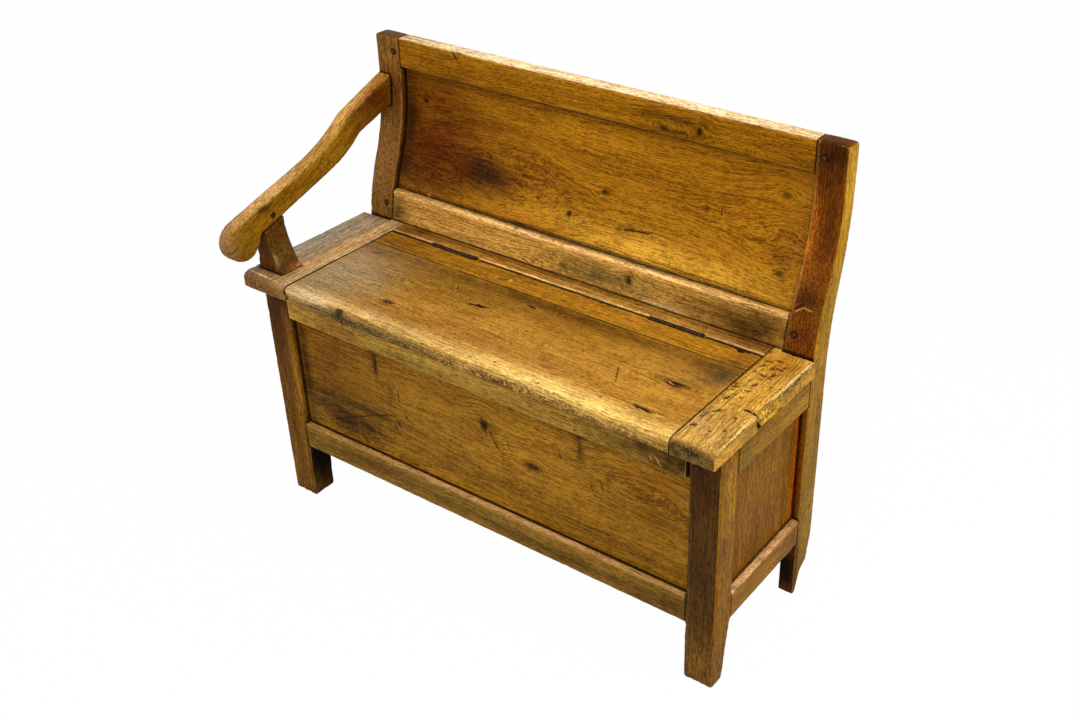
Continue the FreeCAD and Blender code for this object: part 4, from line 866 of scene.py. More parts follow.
@dataclass(frozen=True)
class Board:
    """One wooden piece: where its fibres run, its colour, how worn it is and what marks it bears."""

    node: str
    finish: WoodFinish
    grain: Grain
    tone: Colour
    body: str = "frame"
    voxel: float = 2.5
    softness: int = 4
    waver: float = 0.3
    nicks: int = 12
    knots: tuple[Knot, ...] = ()
    stains_and_light: tuple[StainOrLight, ...] = ()
    dents: tuple[Dent, ...] = ()
    lines: tuple[Line, ...] = ()
    crumbles: tuple[Crumble, ...] = ()

    SLOW_WAVE = 0.06
    FAST_WAVE = 0.012
    GRIT = 0.0045
    ROUNDING = 0.9

    @property
    def slot(self) -> str:
        """The material slot, which its finish names."""
        return self.finish.name

    @property
    def seed(self) -> int:
        """A number of the board's own for its random marks."""
        return sum(ord(letter) * place for place, letter in enumerate(self.node, 1))

    def build(self, nodes: dict, material: bpy.types.Material, others: BVHTree) -> bpy.types.Object:
        """Makes the worn board that stands for its CAD node.

        Args:
            nodes: The CAD nodes by name.
            material: The board's finish.
            others: All the other pieces, to find joints and corners.

        Returns:
            The new object, riding on its body.
        """
        shape = self._shape(nodes[self.node], material)
        around = Surroundings.around(shape, others)
        dents = (*self.dents, *self._random_nicks(shape, around))
        self._mark(shape, around, dents)
        self._weather(shape, around, dents)
        shape.store()
        piece = bpy.data.objects.new(f"worn_{self.node}", shape.mesh)
        bpy.context.scene.collection.objects.link(piece)
        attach(piece, self.body)
        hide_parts(self.node)
        return piece

    def _shape(self, node: bpy.types.Object, material: bpy.types.Material) -> BoardShape:
        """Copies the CAD node as an even mesh.

        Args:
            node: The CAD node.
            material: The board's finish.

        Returns:
            The board's shape before it is weathered.
        """
        shape = BoardShape.from_node(node, self.voxel * MILLIMETRE)
        shape.mesh.materials.append(material)
        return shape

    def _weather(self, shape: BoardShape, around: Surroundings, dents: tuple[Dent, ...]) -> None:
        """Rounds the arrises, lets the faces waver and presses in the dents, but leaves joints tight.

        Args:
            shape: The board's shape.
            around: What lies next to it.
            dents: Every dent, the random nicks among them.
        """
        free = 1 - around.touching
        inward = shape.standing(self.softness) * self.ROUNDING
        rough = Roughness(self.seed)
        slow = rough.at(shape.points, self.SLOW_WAVE)
        fast = rough.at(shape.points, self.FAST_WAVE)
        inward = np.maximum(inward, 0) + self.waver * MILLIMETRE * (0.5 + 0.5 * slow)
        inward += np.clip(shape.edge, 0, 1) * MILLIMETRE * (0.4 + 0.4 * fast)
        gritty = rough.at(shape.points, self.GRIT)
        inward += self._crumbling(shape.points) * MILLIMETRE * (0.8 + 1.3 * gritty + 0.6 * fast)
        for dent in dents:
            inward += dent.depth * MILLIMETRE * closeness(shape.points, dent.at, dent.reach)
        shape.sink(inward * free)

    def _random_nicks(self, shape: BoardShape, around: Surroundings) -> list[Dent]:
        """Small nicks along the free arrises.

        Args:
            shape: The board's shape, with its arrises known.
            around: What lies next to it.

        Returns:
            The nicks as dents.
        """
        draw = np.random.default_rng(self.seed)
        arris = np.flatnonzero((shape.edge > 0.5) & (around.touching < 0.05))
        if not len(arris) or not self.nicks:
            return []
        spots = shape.points[draw.choice(arris, self.nicks)] / MILLIMETRE + BENCH_CENTRE
        widths = draw.uniform(2.0, 4.5, self.nicks)
        depths = draw.uniform(0.4, 1.4, self.nicks)
        return [Dent(tuple(spot), (wide,) * 3, deep) for spot, wide, deep in zip(spots, widths, depths)]

    def _crumbling(self, points: np.ndarray) -> np.ndarray:
        """How rough the board has become.

        Args:
            points: Places on the board, one row each.

        Returns:
            From 0 to 1 for each place.
        """
        total = np.zeros(len(points))
        for patch in self.crumbles:
            total += patch.strength * closeness(points, patch.at, patch.reach)
        return np.clip(total, 0, 1)

    def _mark(self, shape: BoardShape, around: Surroundings, dents: tuple[Dent, ...]) -> None:
        """Stores what the material reads: grain, knots, arrises, grime with painted shade in corners, and
        colour with its stains and painted light.

        Args:
            shape: The board's shape before it is weathered.
            around: What lies next to it.
            dents: Every dent, the random nicks among them.
        """
        axes = self.grain.axes
        local = shape.points @ axes.T
        knot_value = np.zeros(len(local))
        for knot in self.knots:
            centre = axes @ bench_point(knot.at)
            size = np.array([knot.long, knot.wide]) * MILLIMETRE
            away = (local[:, :2] - centre[:2]) / size
            square = np.einsum("ij,ij->i", away, away)
            knot_value = np.maximum(knot_value, knot.depth * np.exp(-square))
            local[:, 1] -= (local[:, 1] - centre[1]) * np.exp(-square / 6.8) * 0.85
        draw = np.random.default_rng(self.seed + 1)
        shape.attach("grain", local + draw.uniform(-3, 3, 3))
        shape.attach("knot", knot_value)
        shape.attach("edge", np.clip(shape.edge, 0, 1) ** 1.6 * (1 - around.touching))
        # Grime and painted shade: high where a vertex sits deep in a corner beside another piece
        shape.attach("dirt_and_shade", np.clip(around.sheltered * 1.3, 0, 1))
        shape.attach("crumble", self._crumbling(shape.points))
        tint = np.tile(np.array(self.tone), (len(local), 1))
        rough = Roughness(self.seed + 2)
        broken = 1 + 0.25 * rough.at(shape.points, 0.03) + 0.15 * rough.at(shape.points, 0.01)
        # Each patch tints the vertices: a stain, or painted sheen, highlight or shade
        for coloured_patch in self.stains_and_light:
            share = closeness(shape.points, coloured_patch.at, coloured_patch.reach) * coloured_patch.strength * broken
            if coloured_patch.facing is not None:
                share *= np.clip(shape.normals @ np.array(coloured_patch.facing), 0, 1) ** 2
            share = np.clip(share, 0, 1)[:, None]
            tint = tint * (1 - share) + np.array(linear(*coloured_patch.colour)) * share
        for dent in dents:
            shade = dent.shade * min(dent.depth, 1)
            tint *= 1 - shade * closeness(shape.points, dent.at, dent.reach)[:, None]
        shape.attach("tint", np.hstack([tint, np.ones((len(tint), 1))]))


class PegTree:
    """Geometry nodes that whittle one peg and drive a turned copy of it in at each place."""

    INPUTS = {
        "Places": "Geometry",
        "Radius": "Float",
        "Length": "Float",
        "Dome": "Float",
        "Uneven": "Float",
        "Turn": "Vector",
        "Seed": "Int",
        "Finish": "Material",
    }

    SIDES = 24
    RINGS = 14
    END_RINGS = 5
    KNIFE_MARKS = 230.0
    EMPTY_SLOT = 0

    def __init__(self) -> None:
        """Makes the tree."""
        self.tree = bpy.data.node_groups.new("WhittledPegs", "GeometryNodeTree")
        for label, kind in self.INPUTS.items():
            self.tree.interface.new_socket(label, in_out="INPUT", socket_type=f"NodeSocket{kind}")
        self.tree.interface.new_socket("Pegs", in_out="OUTPUT", socket_type="NodeSocketGeometry")
        build = NodeBuilder(self.tree)
        start = build.add("NodeGroupInput").outputs
        peg = self._whittled(build, start)
        copies = build.add("GeometryNodeInstanceOnPoints", {
            "Points": start["Places"], "Instance": peg, "Rotation": self._turned(build, start),
        })
        pegs = build.add("GeometryNodeRealizeInstances", {0: copies.outputs[0]})
        dressed = build.add("GeometryNodeSetMaterial", {0: pegs.outputs[0], "Material": start["Finish"]})
        build.finish(build.add("NodeGroupOutput"), {"Pegs": dressed.outputs[0]})

    @staticmethod
    def _whittled(build: NodeBuilder, start: bpy.types.NodeOutputs) -> bpy.types.NodeSocket:
        """One upright peg with uneven sides and domed ends.

        Args:
            build: The tree's builder.
            start: The tree's inputs.

        Returns:
            The peg's mesh.
        """
        rod = build.add("GeometryNodeMeshCylinder", {
            "Vertices": PegTree.SIDES, "Side Segments": PegTree.RINGS, "Fill Segments": PegTree.END_RINGS,
            "Radius": start["Radius"], "Depth": start["Length"],
        }, fill_type="TRIANGLE_FAN")
        place = build.add("GeometryNodeInputPosition").outputs[0]
        height = build.add("SeparateXYZ", {0: place}).outputs["Z"]
        radial = build.scaled(place, (1.0, 1.0, 0.0))
        square = build.add("VectorMath", {0: radial, 1: radial}, operation="DOT_PRODUCT").outputs["Value"]
        share = build.math("DIVIDE", square, build.math("MULTIPLY", start["Radius"], start["Radius"]))
        drop = build.math("MULTIPLY", build.math("MULTIPLY", height, start["Dome"]), share)
        shaved = build.math("MULTIPLY", build.noise(place, PegTree.KNIFE_MARKS), start["Uneven"])
        inward = build.add("VectorMath", {0: radial, "Scale": shaved}, operation="SCALE").outputs["Vector"]
        downward = build.add("CombineXYZ", {"Z": drop}).outputs[0]
        offset = build.vector("SUBTRACT", build.scaled(inward, (-1.0, -1.0, 0.0)), downward)
        shaped = build.add("GeometryNodeSetPosition", {0: rod.outputs["Mesh"], "Offset": offset})
        return shaped.outputs[0]

    @staticmethod
    def _turned(build: NodeBuilder, start: bpy.types.NodeOutputs) -> bpy.types.NodeSocket:
        """The pegs' direction, with each peg twisted at random about its own length.

        Args:
            build: The tree's builder.
            start: The tree's inputs.

        Returns:
            One rotation for each place.
        """
        angle = build.add("FunctionNodeRandomValue", {2: 0.0, 3: math.tau, "Seed": start["Seed"]})
        turn = {"Axis": (0.0, 0.0, 1.0), "Angle": angle.outputs[1]}
        twist = build.add("FunctionNodeAxisAngleToRotation", turn)
        aim = build.add("FunctionNodeEulerToRotation", {0: start["Turn"]})
        both = build.add("FunctionNodeRotateRotation", {0: aim.outputs[0], 1: twist.outputs[0]},
                         rotation_space="LOCAL")
        return both.outputs[0]

    def drive(self, places: np.ndarray, sizes: dict) -> bpy.types.Mesh:
        """Makes the pegs as one plain mesh.

        Args:
            places: The pegs' middles, one row each.
            sizes: The tree's other inputs by name.

        Returns:
            The mesh of every peg.
        """
        points = bpy.data.meshes.new("places")
        points.from_pydata([tuple(place) for place in places], [], [])
        holder = bpy.data.objects.new("places", points)
        bpy.context.scene.collection.objects.link(holder)
        whittle = holder.modifiers.new("whittle", "NODES")
        whittle.node_group = self.tree
        for socket in self.tree.interface.items_tree:
            if socket.name in sizes:
                whittle[socket.identifier] = sizes[socket.name]
        graph = bpy.context.evaluated_depsgraph_get()
        mesh = bpy.data.meshes.new_from_object(holder.evaluated_get(graph))
        mesh.materials.pop(index=self.EMPTY_SLOT)
        bpy.data.objects.remove(holder)
        bpy.data.meshes.remove(points)
        return mesh


@dataclass(frozen=True)
class PegSet(Board):
    """The pegs that share a node, each whittled anew where the CAD has it."""

    tree: PegTree | None = None
    dome: float = 0.05
    uneven: float = 0.1

    def _shape(self, node: bpy.types.Object, material: bpy.types.Material) -> BoardShape:
        """Drives a whittled peg in at the place of each of the node's solids.

        Args:
            node: The CAD node.
            material: The pegs' finish.

        Returns:
            The pegs' shape.
        """
        boxes = self._solid_boxes(node)
        size = boxes[0][1] - boxes[0][0]
        long = int(np.argmax(size))
        way = Vector([float(axis == long) for axis in range(3)])
        mesh = self.tree.drive(np.array([box.mean(axis=0) for box in boxes]), {
            "Radius": float(np.delete(size, long).min() / 2),
            "Length": float(size[long]),
            "Dome": self.dome,
            "Uneven": self.uneven,
            "Turn": tuple(way.to_track_quat("Z", "Y").to_euler()),
            "Seed": self.seed,
            "Finish": material,
        })
        return BoardShape.from_mesh(mesh)

    @staticmethod
    def _solid_boxes(node: bpy.types.Object) -> list[np.ndarray]:
        """Boxes the separate solids of a node.

        Args:
            node: The CAD node.

        Returns:
            The lowest and the highest corner of each solid, from left to right.
        """
        work = bmesh.new()
        work.from_mesh(node.data)
        bmesh.ops.remove_doubles(work, verts=work.verts, dist=MERGE_REACH)
        left = set(work.verts)
        boxes = []
        while left:
            queue = [left.pop()]
            found = []
            while queue:
                vertex = queue.pop()
                found.append(vertex.co[:])
                joined = {edge.other_vert(vertex) for edge in vertex.link_edges} & left
                left -= joined
                queue.extend(joined)
            boxes.append(np.array([np.min(found, axis=0), np.max(found, axis=0)]))
        work.free()
        return sorted(boxes, key=lambda box: box[0, 0])


class Bench:
    """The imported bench: its CAD nodes and the finishes that its boards share."""

    def __init__(self, nodes: dict, workshop: Workshop) -> None:
        """Starts with every node bare."""
        self.nodes = nodes
        self.workshop = workshop
        self.woods: dict[WoodFinish, bpy.types.Material] = {}

    def replace(self, board: Board) -> bpy.types.Object:
        """Puts a worn board in its node's place."""
        return board.build(self.nodes, self._wood(board), self._all_but(board.node))

    def dress(self, name: str, material: bpy.types.Material) -> bpy.types.Object:
        """Gives a CAD node a finish and leaves its shape alone.

        Args:
            name: The node's name.
            material: The finish.

        Returns:
            The node's object.
        """
        node = self.nodes[name]
        node.data.materials.clear()
        node.data.materials.append(material)
        return node

    def _wood(self, board: Board) -> bpy.types.Material:
        """Finds the board's finish, or makes it.

        Args:
            board: The board.

        Returns:
            A material of its own where it bears lines, otherwise the one that boards of its sort share.
        """
        if board.lines:
            return self.workshop.wood(board.finish, board.lines)
        if board.finish not in self.woods:
            self.woods[board.finish] = self.workshop.wood(board.finish)
        return self.woods[board.finish]

    def _all_but(self, left_out: str) -> BVHTree:
        """Gathers what surrounds a node.

        Args:
            left_out: The node's name.

        Returns:
            A search tree over every other CAD node.
        """
        points: list = []
        faces: list = []
        for name, node in self.nodes.items():
            if name == left_out:
                continue
            start = len(points)
            points.extend(vertex.co[:] for vertex in node.data.vertices)
            faces.extend(tuple(start + index for index in face.vertices) for face in node.data.polygons)
        return BVHTree.FromPolygons(points, faces)


FRONT = (0, -1, 0)
RIGHT = (1, 0, 0)
UP = (0, 0, 1)
ARM_TOP = (0, -0.475, 0.88)


@dataclass(frozen=True)
class Section:
    """A sub-assembly of the bench, with the faces that its marks lie on."""

    def boards(self) -> list[Board]:
        """The section's boards, in the order in which they are made."""
        return []

    def build(self, bench: Bench) -> list[bpy.types.Object]:
        """Makes and dresses every board of the section."""
        return [bench.replace(board) for board in self.boards()]


@dataclass(frozen=True)
class Legs(Section):
    """The four posts."""

    front: Face = Face(1, 0)
    outer: Face = Face(0, 466)

    def boards(self) -> list[Board]:
        """The posts, the front pair first."""
        return [
            self._front_post_left(),
            self._front_post_right(),
            self._back_post_left(),
            self._back_post_right(),
        ]

    def _front_post_left(self) -> Board:
        """The left front post, mostly behind the arm's side of the seat."""
        return Board(
            "front_post_left", POST_WOOD, Grain.TALL_FRONT, linear(106, 68, 14),
            stains_and_light=several(StainOrLight,
                ((-436, 0, 400), (60, 60, 110), (66, 34, 8), 0.85),
                ((-412, 0, 200), (12, 30, 190), (152, 104, 30), 0.7),
                ((-452, 0, 60), (14, 30, 60), (128, 90, 24), 0.6),
                ((-409, 25, 80), (5, 60, 110), (20, 14, 6), 1.0),
            ),
            crumbles=several(Crumble,
                ((-436, 0, 0), (40, 50, 8), 0.8),
            ),
        )

    def _front_post_right(self) -> Board:
        """The right front post with its dark front and lighter side."""
        return Board(
            "front_post_right", POST_WOOD, Grain.TALL_FRONT, linear(72, 47, 11),
            stains_and_light=several(StainOrLight,
                ((467, 25, 220), (30, 60, 500), (128, 86, 5), 1.0, RIGHT),
                ((410, 0, 250), (5, 8, 200), (104, 80, 30), 0.7),
                ((429, 0, 377), (22, 12, 44), (64, 30, 10), 0.7),
                ((428, 0, 247), (22, 12, 60), (62, 34, 12), 0.5),
                ((440, 0, 40), (50, 60, 60), (110, 76, 24), 0.9),
                ((466, 17, 275), (6, 8, 24), (60, 44, 16), 0.8),
                ((466, 10, 120), (6, 14, 50), (120, 76, 14), 0.6),
                ((466, 30, 360), (20, 20, 70), (164, 116, 20), 0.7, RIGHT),
            ),
            lines=(
                *self.outer.lines(
                    (25, 226, 26, 222, 3.4), (34, 222, 34, 220, 2.6), (12, 330, 14, 300, 1.4, 0.6),
                ),
                *self.front.lines(
                    (420, 340, 421, 200, 1.2, 0.7), (444, 300, 443, 120, 1.0, 0.6),
                ),
            ),
            crumbles=several(Crumble,
                ((436, 0, 0), (40, 50, 10)), ((410, 0, 220), (4, 6, 160), 0.6),
            ),
        )

    def _back_post_left(self) -> Board:
        """The left back post and stile."""
        return Board(
            "back_post_left", POST_WOOD, Grain.TALL_FRONT, linear(122, 82, 32),
            stains_and_light=several(StainOrLight,
                ((-431, 320, 700), (40, 30, 44), (82, 42, 14), 0.7),
                ((-407, 300, 600), (3, 60, 150), (196, 138, 56), 0.9, FRONT),
                # Painted shade: darkens the stile's inner side face, which faces right, beside the recessed
                # panel
                ((-405, 310, 620), (7, 60, 170), (58, 24, 4), 1.0, RIGHT),
                ((-440, 326, 760), (40, 12, 26), (132, 92, 36), 0.8, FRONT),
                ((-440, 340, 794), (60, 50, 9), (92, 62, 30), 0.9, UP),
                ((-440, 300, 560), (20, 60, 60), (132, 94, 48), 0.5),
            ),
            lines=several(Line,
                ((-431, 317, 642), (-428, 316, 640), 3.0, 0.7),
                ((-440, 300, 590), (-439, 296, 540), 1.2, 0.5),
            ),
        )

    def _back_post_right(self) -> Board:
        """The right back post and stile, scarred above the low rail."""
        return Board(
            "back_post_right", POST_WOOD, Grain.TALL_FRONT, linear(112, 63, 11),
            stains_and_light=several(StainOrLight,
                ((431, 326, 775), (60, 40, 60), (58, 26, 4), 0.95),
                ((416, 318, 650), (9, 30, 60), (172, 92, 18), 0.7),
                ((444, 322, 665), (14, 30, 60), (70, 32, 6), 0.8),
                ((434, 287, 560), (30, 14, 20), (40, 20, 8), 0.75),
                ((436, 273, 500), (22, 14, 16), (88, 44, 18), 0.7),
                ((411, 300, 620), (3, 60, 140), (196, 142, 70), 0.8),
                ((469, 320, 400), (40, 120, 560), (166, 126, 24), 1.0, RIGHT),
                ((469, 340, 740), (30, 40, 60), (184, 142, 34), 0.8, RIGHT),
                ((469, 300, 560), (30, 40, 60), (120, 88, 20), 0.6, RIGHT),
                ((469, 290, 240), (40, 70, 190), (118, 86, 22), 0.85, RIGHT),
                ((452, 262, 50), (60, 14, 90), (22, 12, 3), 1.0),
                ((469, 300, 40), (10, 40, 60), (84, 62, 14), 0.8),
            ),
            lines=several(Line,
                ((417, 281, 533), (431, 284, 543), 2.0, -1.0),
                ((431, 284, 543), (445, 283, 541), 2.0, -1.0), ((417, 282, 538), (430, 286, 549), 2.4, 0.9),
                ((463, 332, 785), (463, 345, 776), 3.0, -0.8), ((426, 300, 610), (424, 278, 545), 1.2, 0.6),
                ((440, 320, 700), (438, 300, 600), 1.0, 0.5),
            ),
        )


@dataclass(frozen=True)
class Walls(Section):
    """Rails and panels of the box."""

    front: Face = Face(1, 0)
    panel: Face = Face(1, 13)
    side: Face = Face(0, 463)
    side_panel: Face = Face(0, 448)
    rail_voxel: float = 3.0
    panel_voxel: float = 3.5

    def boards(self) -> list[Board]:
        """The front, the two plain walls and the right side."""
        return [
            self._front_top_rail(),
            self._front_bottom_rail(),
            self._front_panel(),
            *self._plain_wall("rear", Grain.LONG_UPRIGHT, Grain.LONG_UPRIGHT),
            *self._plain_wall("left_side", Grain.DEEP_UPRIGHT, Grain.TALL_SIDE),
            self._right_side_bottom_rail(),
            self._right_side_top_rail(),
            self._right_side_panel(),
        ]

    def _front_top_rail(self) -> Board:
        """The rail under the lid's nose."""
        return Board(
            "front_top_rail", FRAME_WOOD, Grain.LONG_UPRIGHT, linear(184, 146, 60),
            stains_and_light=self.front.stains_and_light(10,
                (385, 410, 130, 60, (76, 50, 13), 0.95), (-60, 394, 170, 9, (92, 72, 24), 0.5),
                (-300, 402, 80, 26, (146, 100, 34), 0.6), (130, 402, 90, 18, (156, 116, 44), 0.6),
            ),
            lines=self.front.lines(
                (207, 393, 207, 393, 5.0, 1.0), (352, 404, 364, 388, 1.6, -1.0),
                (343, 400, 348, 394, 1.6, -0.9), (-340, 392, -60, 384, 1.6, 0.8),
                (-60, 384, 60, 390, 1.4, 0.7), (-200, 398, -90, 396, 1.2, 0.6),
            ),
            crumbles=several(Crumble,
                ((150, 0, 432), (180, 12, 12), 0.3),
            ),
        )

    def _front_bottom_rail(self) -> Board:
        """The rail under the front panel."""
        return Board(
            "front_bottom_rail", FRAME_WOOD, Grain.LONG_UPRIGHT, linear(130, 97, 32),
            stains_and_light=(
                *self.front.stains_and_light(8,
                    (150, 134, 260, 9, (84, 58, 18), 0.8), (-260, 142, 120, 10, (84, 54, 16), 0.7),
                    (380, 135, 70, 30, (84, 54, 14), 0.7), (20, 150, 90, 8, (112, 90, 32), 0.7),
                ),
                *several(StainOrLight,
                    # Pale strip along the top arris: wear with a painted highlight
                    ((0, 8, 167), (520, 10, 5), (206, 160, 104), 0.85),
                ),
            ),
            lines=self.front.lines(
                (-120, 140, 60, 136, 1.4, 0.7), (100, 146, 300, 140, 1.2, 0.6),
                (-350, 130, -250, 128, 1.4, 0.6),
            ),
        )

    def _front_panel(self) -> Board:
        """The front panel with its knots and long scratches."""
        return Board(
            "front_panel", PANEL_WOOD, Grain.LONG_UPRIGHT, linear(151, 107, 26), voxel=2.5,
            knots=self.panel.knots(
                (15, 320, 13, 14, 1.0), (111, 278, 20, 9, 1.0), (319, 313, 24, 12, 0.5),
                (378, 308, 15, 10, 0.75), (206, 372, 8, 6, 0.9), (-222, 370, 8, 6, 0.6),
                (-299, 200, 80, 26, 0.42),
            ),
            stains_and_light=(
                *self.panel.stains_and_light(10,
                    # Painted shadow: the second patch on the next line, a dark strip where the panel sits
                    # back beside the left post
                    (-340, 300, 110, 130, (110, 68, 10), 0.75), (-396, 280, 10, 150, (58, 38, 12), 0.8),
                    (-300, 204, 96, 24, (46, 32, 12), 0.9), (-270, 246, 120, 8, (58, 44, 18), 0.8),
                    (-350, 222, 60, 14, (70, 50, 18), 0.7),
                ),
                *several(StainOrLight,
                    ((-222, 13, 350), (7, 8, 26), (56, 34, 12), 0.85),
                    ((-192, 13, 300), (9, 8, 26), (84, 54, 16), 0.6),
                    ((206, 13, 345), (9, 8, 30), (60, 38, 12), 0.8),
                ),
                *self.panel.stains_and_light(10,
                    (100, 335, 100, 40, (170, 122, 34), 0.7), (30, 260, 110, 24, (164, 116, 34), 0.6),
                    (350, 340, 60, 30, (150, 92, 20), 0.6), (330, 270, 120, 60, (116, 74, 12), 0.6),
                    (280, 190, 180, 30, (112, 74, 16), 0.6), (-60, 210, 180, 30, (110, 76, 18), 0.6),
                    (-60, 345, 90, 30, (124, 82, 16), 0.5),
                ),
                *several(StainOrLight,
                    # Grime and painted shadow: the dark strip along the panel's top, under the rail
                    ((0, 13, 386), (500, 8, 7), (46, 30, 12), 0.8),
                ),
            ),
            lines=self.panel.lines(
                (-359, 186, -300, 214, 2.0, 0.9), (-300, 214, -240, 240, 2.2, 0.9),
                (-240, 240, -187, 262, 2.0, 0.9), (-350, 206, -280, 236, 1.4, 0.7),
                (-330, 190, -250, 222, 1.4, 0.6), (-183, 252, -176, 242, 3.6), (-190, 240, -182, 232, 3.0),
                (-163, 270, -154, 262, 3.0), (-212, 314, -208, 310, 3.0), (-175, 314, -173, 292, 2.2),
                (-219, 374, -222, 336, 2.6, 0.7), (8, 332, 18, 306, 4.4, 0.8), (24, 316, 34, 296, 2.4, 0.8),
                (34, 294, 44, 282, 3.0), (61, 308, 66, 290, 2.2), (66, 290, 78, 286, 1.8),
                (243, 306, 250, 288, 2.2), (226, 290, 228, 287, 3.0), (167, 324, 169, 320, 3.4),
                (124, 318, 166, 322, 1.4, 0.7), (204, 366, 207, 334, 2.2, 0.7),
                (296, 309, 340, 306, 1.8, 0.5),
            ),
        )

    def _right_side_bottom_rail(self) -> Board:
        """The right side's bottom rail."""
        return Board(
            "right_side_bottom_rail", FRAME_WOOD, Grain.DEEP_UPRIGHT, linear(140, 96, 20),
            stains_and_light=several(StainOrLight,
                ((458, 160, 164), (14, 300, 5), (214, 168, 118), 1.0),
                ((463, 250, 135), (9, 40, 40), (98, 64, 14), 0.7),
                ((463, 90, 140), (9, 30, 14), (112, 84, 26), 0.6),
            ),
        )

    def _right_side_top_rail(self) -> Board:
        """The right side's top rail."""
        return Board(
            "right_side_top_rail", FRAME_WOOD, Grain.DEEP_UPRIGHT, linear(136, 96, 16),
            stains_and_light=several(StainOrLight,
                ((463, 240, 400), (9, 50, 40), (168, 124, 26), 0.7),
                ((463, 70, 400), (9, 20, 40), (104, 84, 30), 0.7),
            ),
            lines=self.side.lines(
                (60, 424, 62, 380, 1.6, 0.8), (90, 416, 240, 410, 1.2, 0.5),
            ),
        )

    def _right_side_panel(self) -> Board:
        """The right side's panel."""
        return Board(
            "right_side_panel", PANEL_WOOD, Grain.TALL_SIDE, linear(126, 81, 4),
            knots=self.side_panel.knots(
                (117, 277, 16, 9, 0.6), (190, 290, 12, 7, 0.5),
            ),
            stains_and_light=self.side_panel.stains_and_light(8,
                (266, 230, 10, 160, (206, 84, 10), 1.0), (120, 190, 80, 60, (102, 64, 10), 0.6),
                (190, 340, 40, 50, (132, 92, 20), 0.6), (60, 280, 8, 150, (150, 104, 24), 0.6),
            ),
            lines=self.side_panel.lines(
                (150, 332, 151, 320, 1.8, -0.8), (90, 300, 92, 220, 1.2, 0.5),
                (160, 280, 158, 200, 1.0, 0.5),
            ),
        )

    def _plain_wall(self, word: str, along: Grain, upright: Grain) -> list[Board]:
        """A wall that bears no marks of its own.

        Args:
            word: Where the wall stands, as its nodes' names say it.
            along: The rails' grain.
            upright: The panel's grain.

        Returns:
            Its two rails and its panel.
        """
        rail = self.rail_voxel
        return [
            Board(f"{word}_bottom_rail", FRAME_WOOD, along, linear(128, 90, 28), voxel=rail),
            Board(f"{word}_top_rail", FRAME_WOOD, along, linear(124, 86, 26), voxel=rail),
            Board(f"{word}_panel", PANEL_WOOD, upright, linear(126, 82, 16), voxel=self.panel_voxel),
        ]


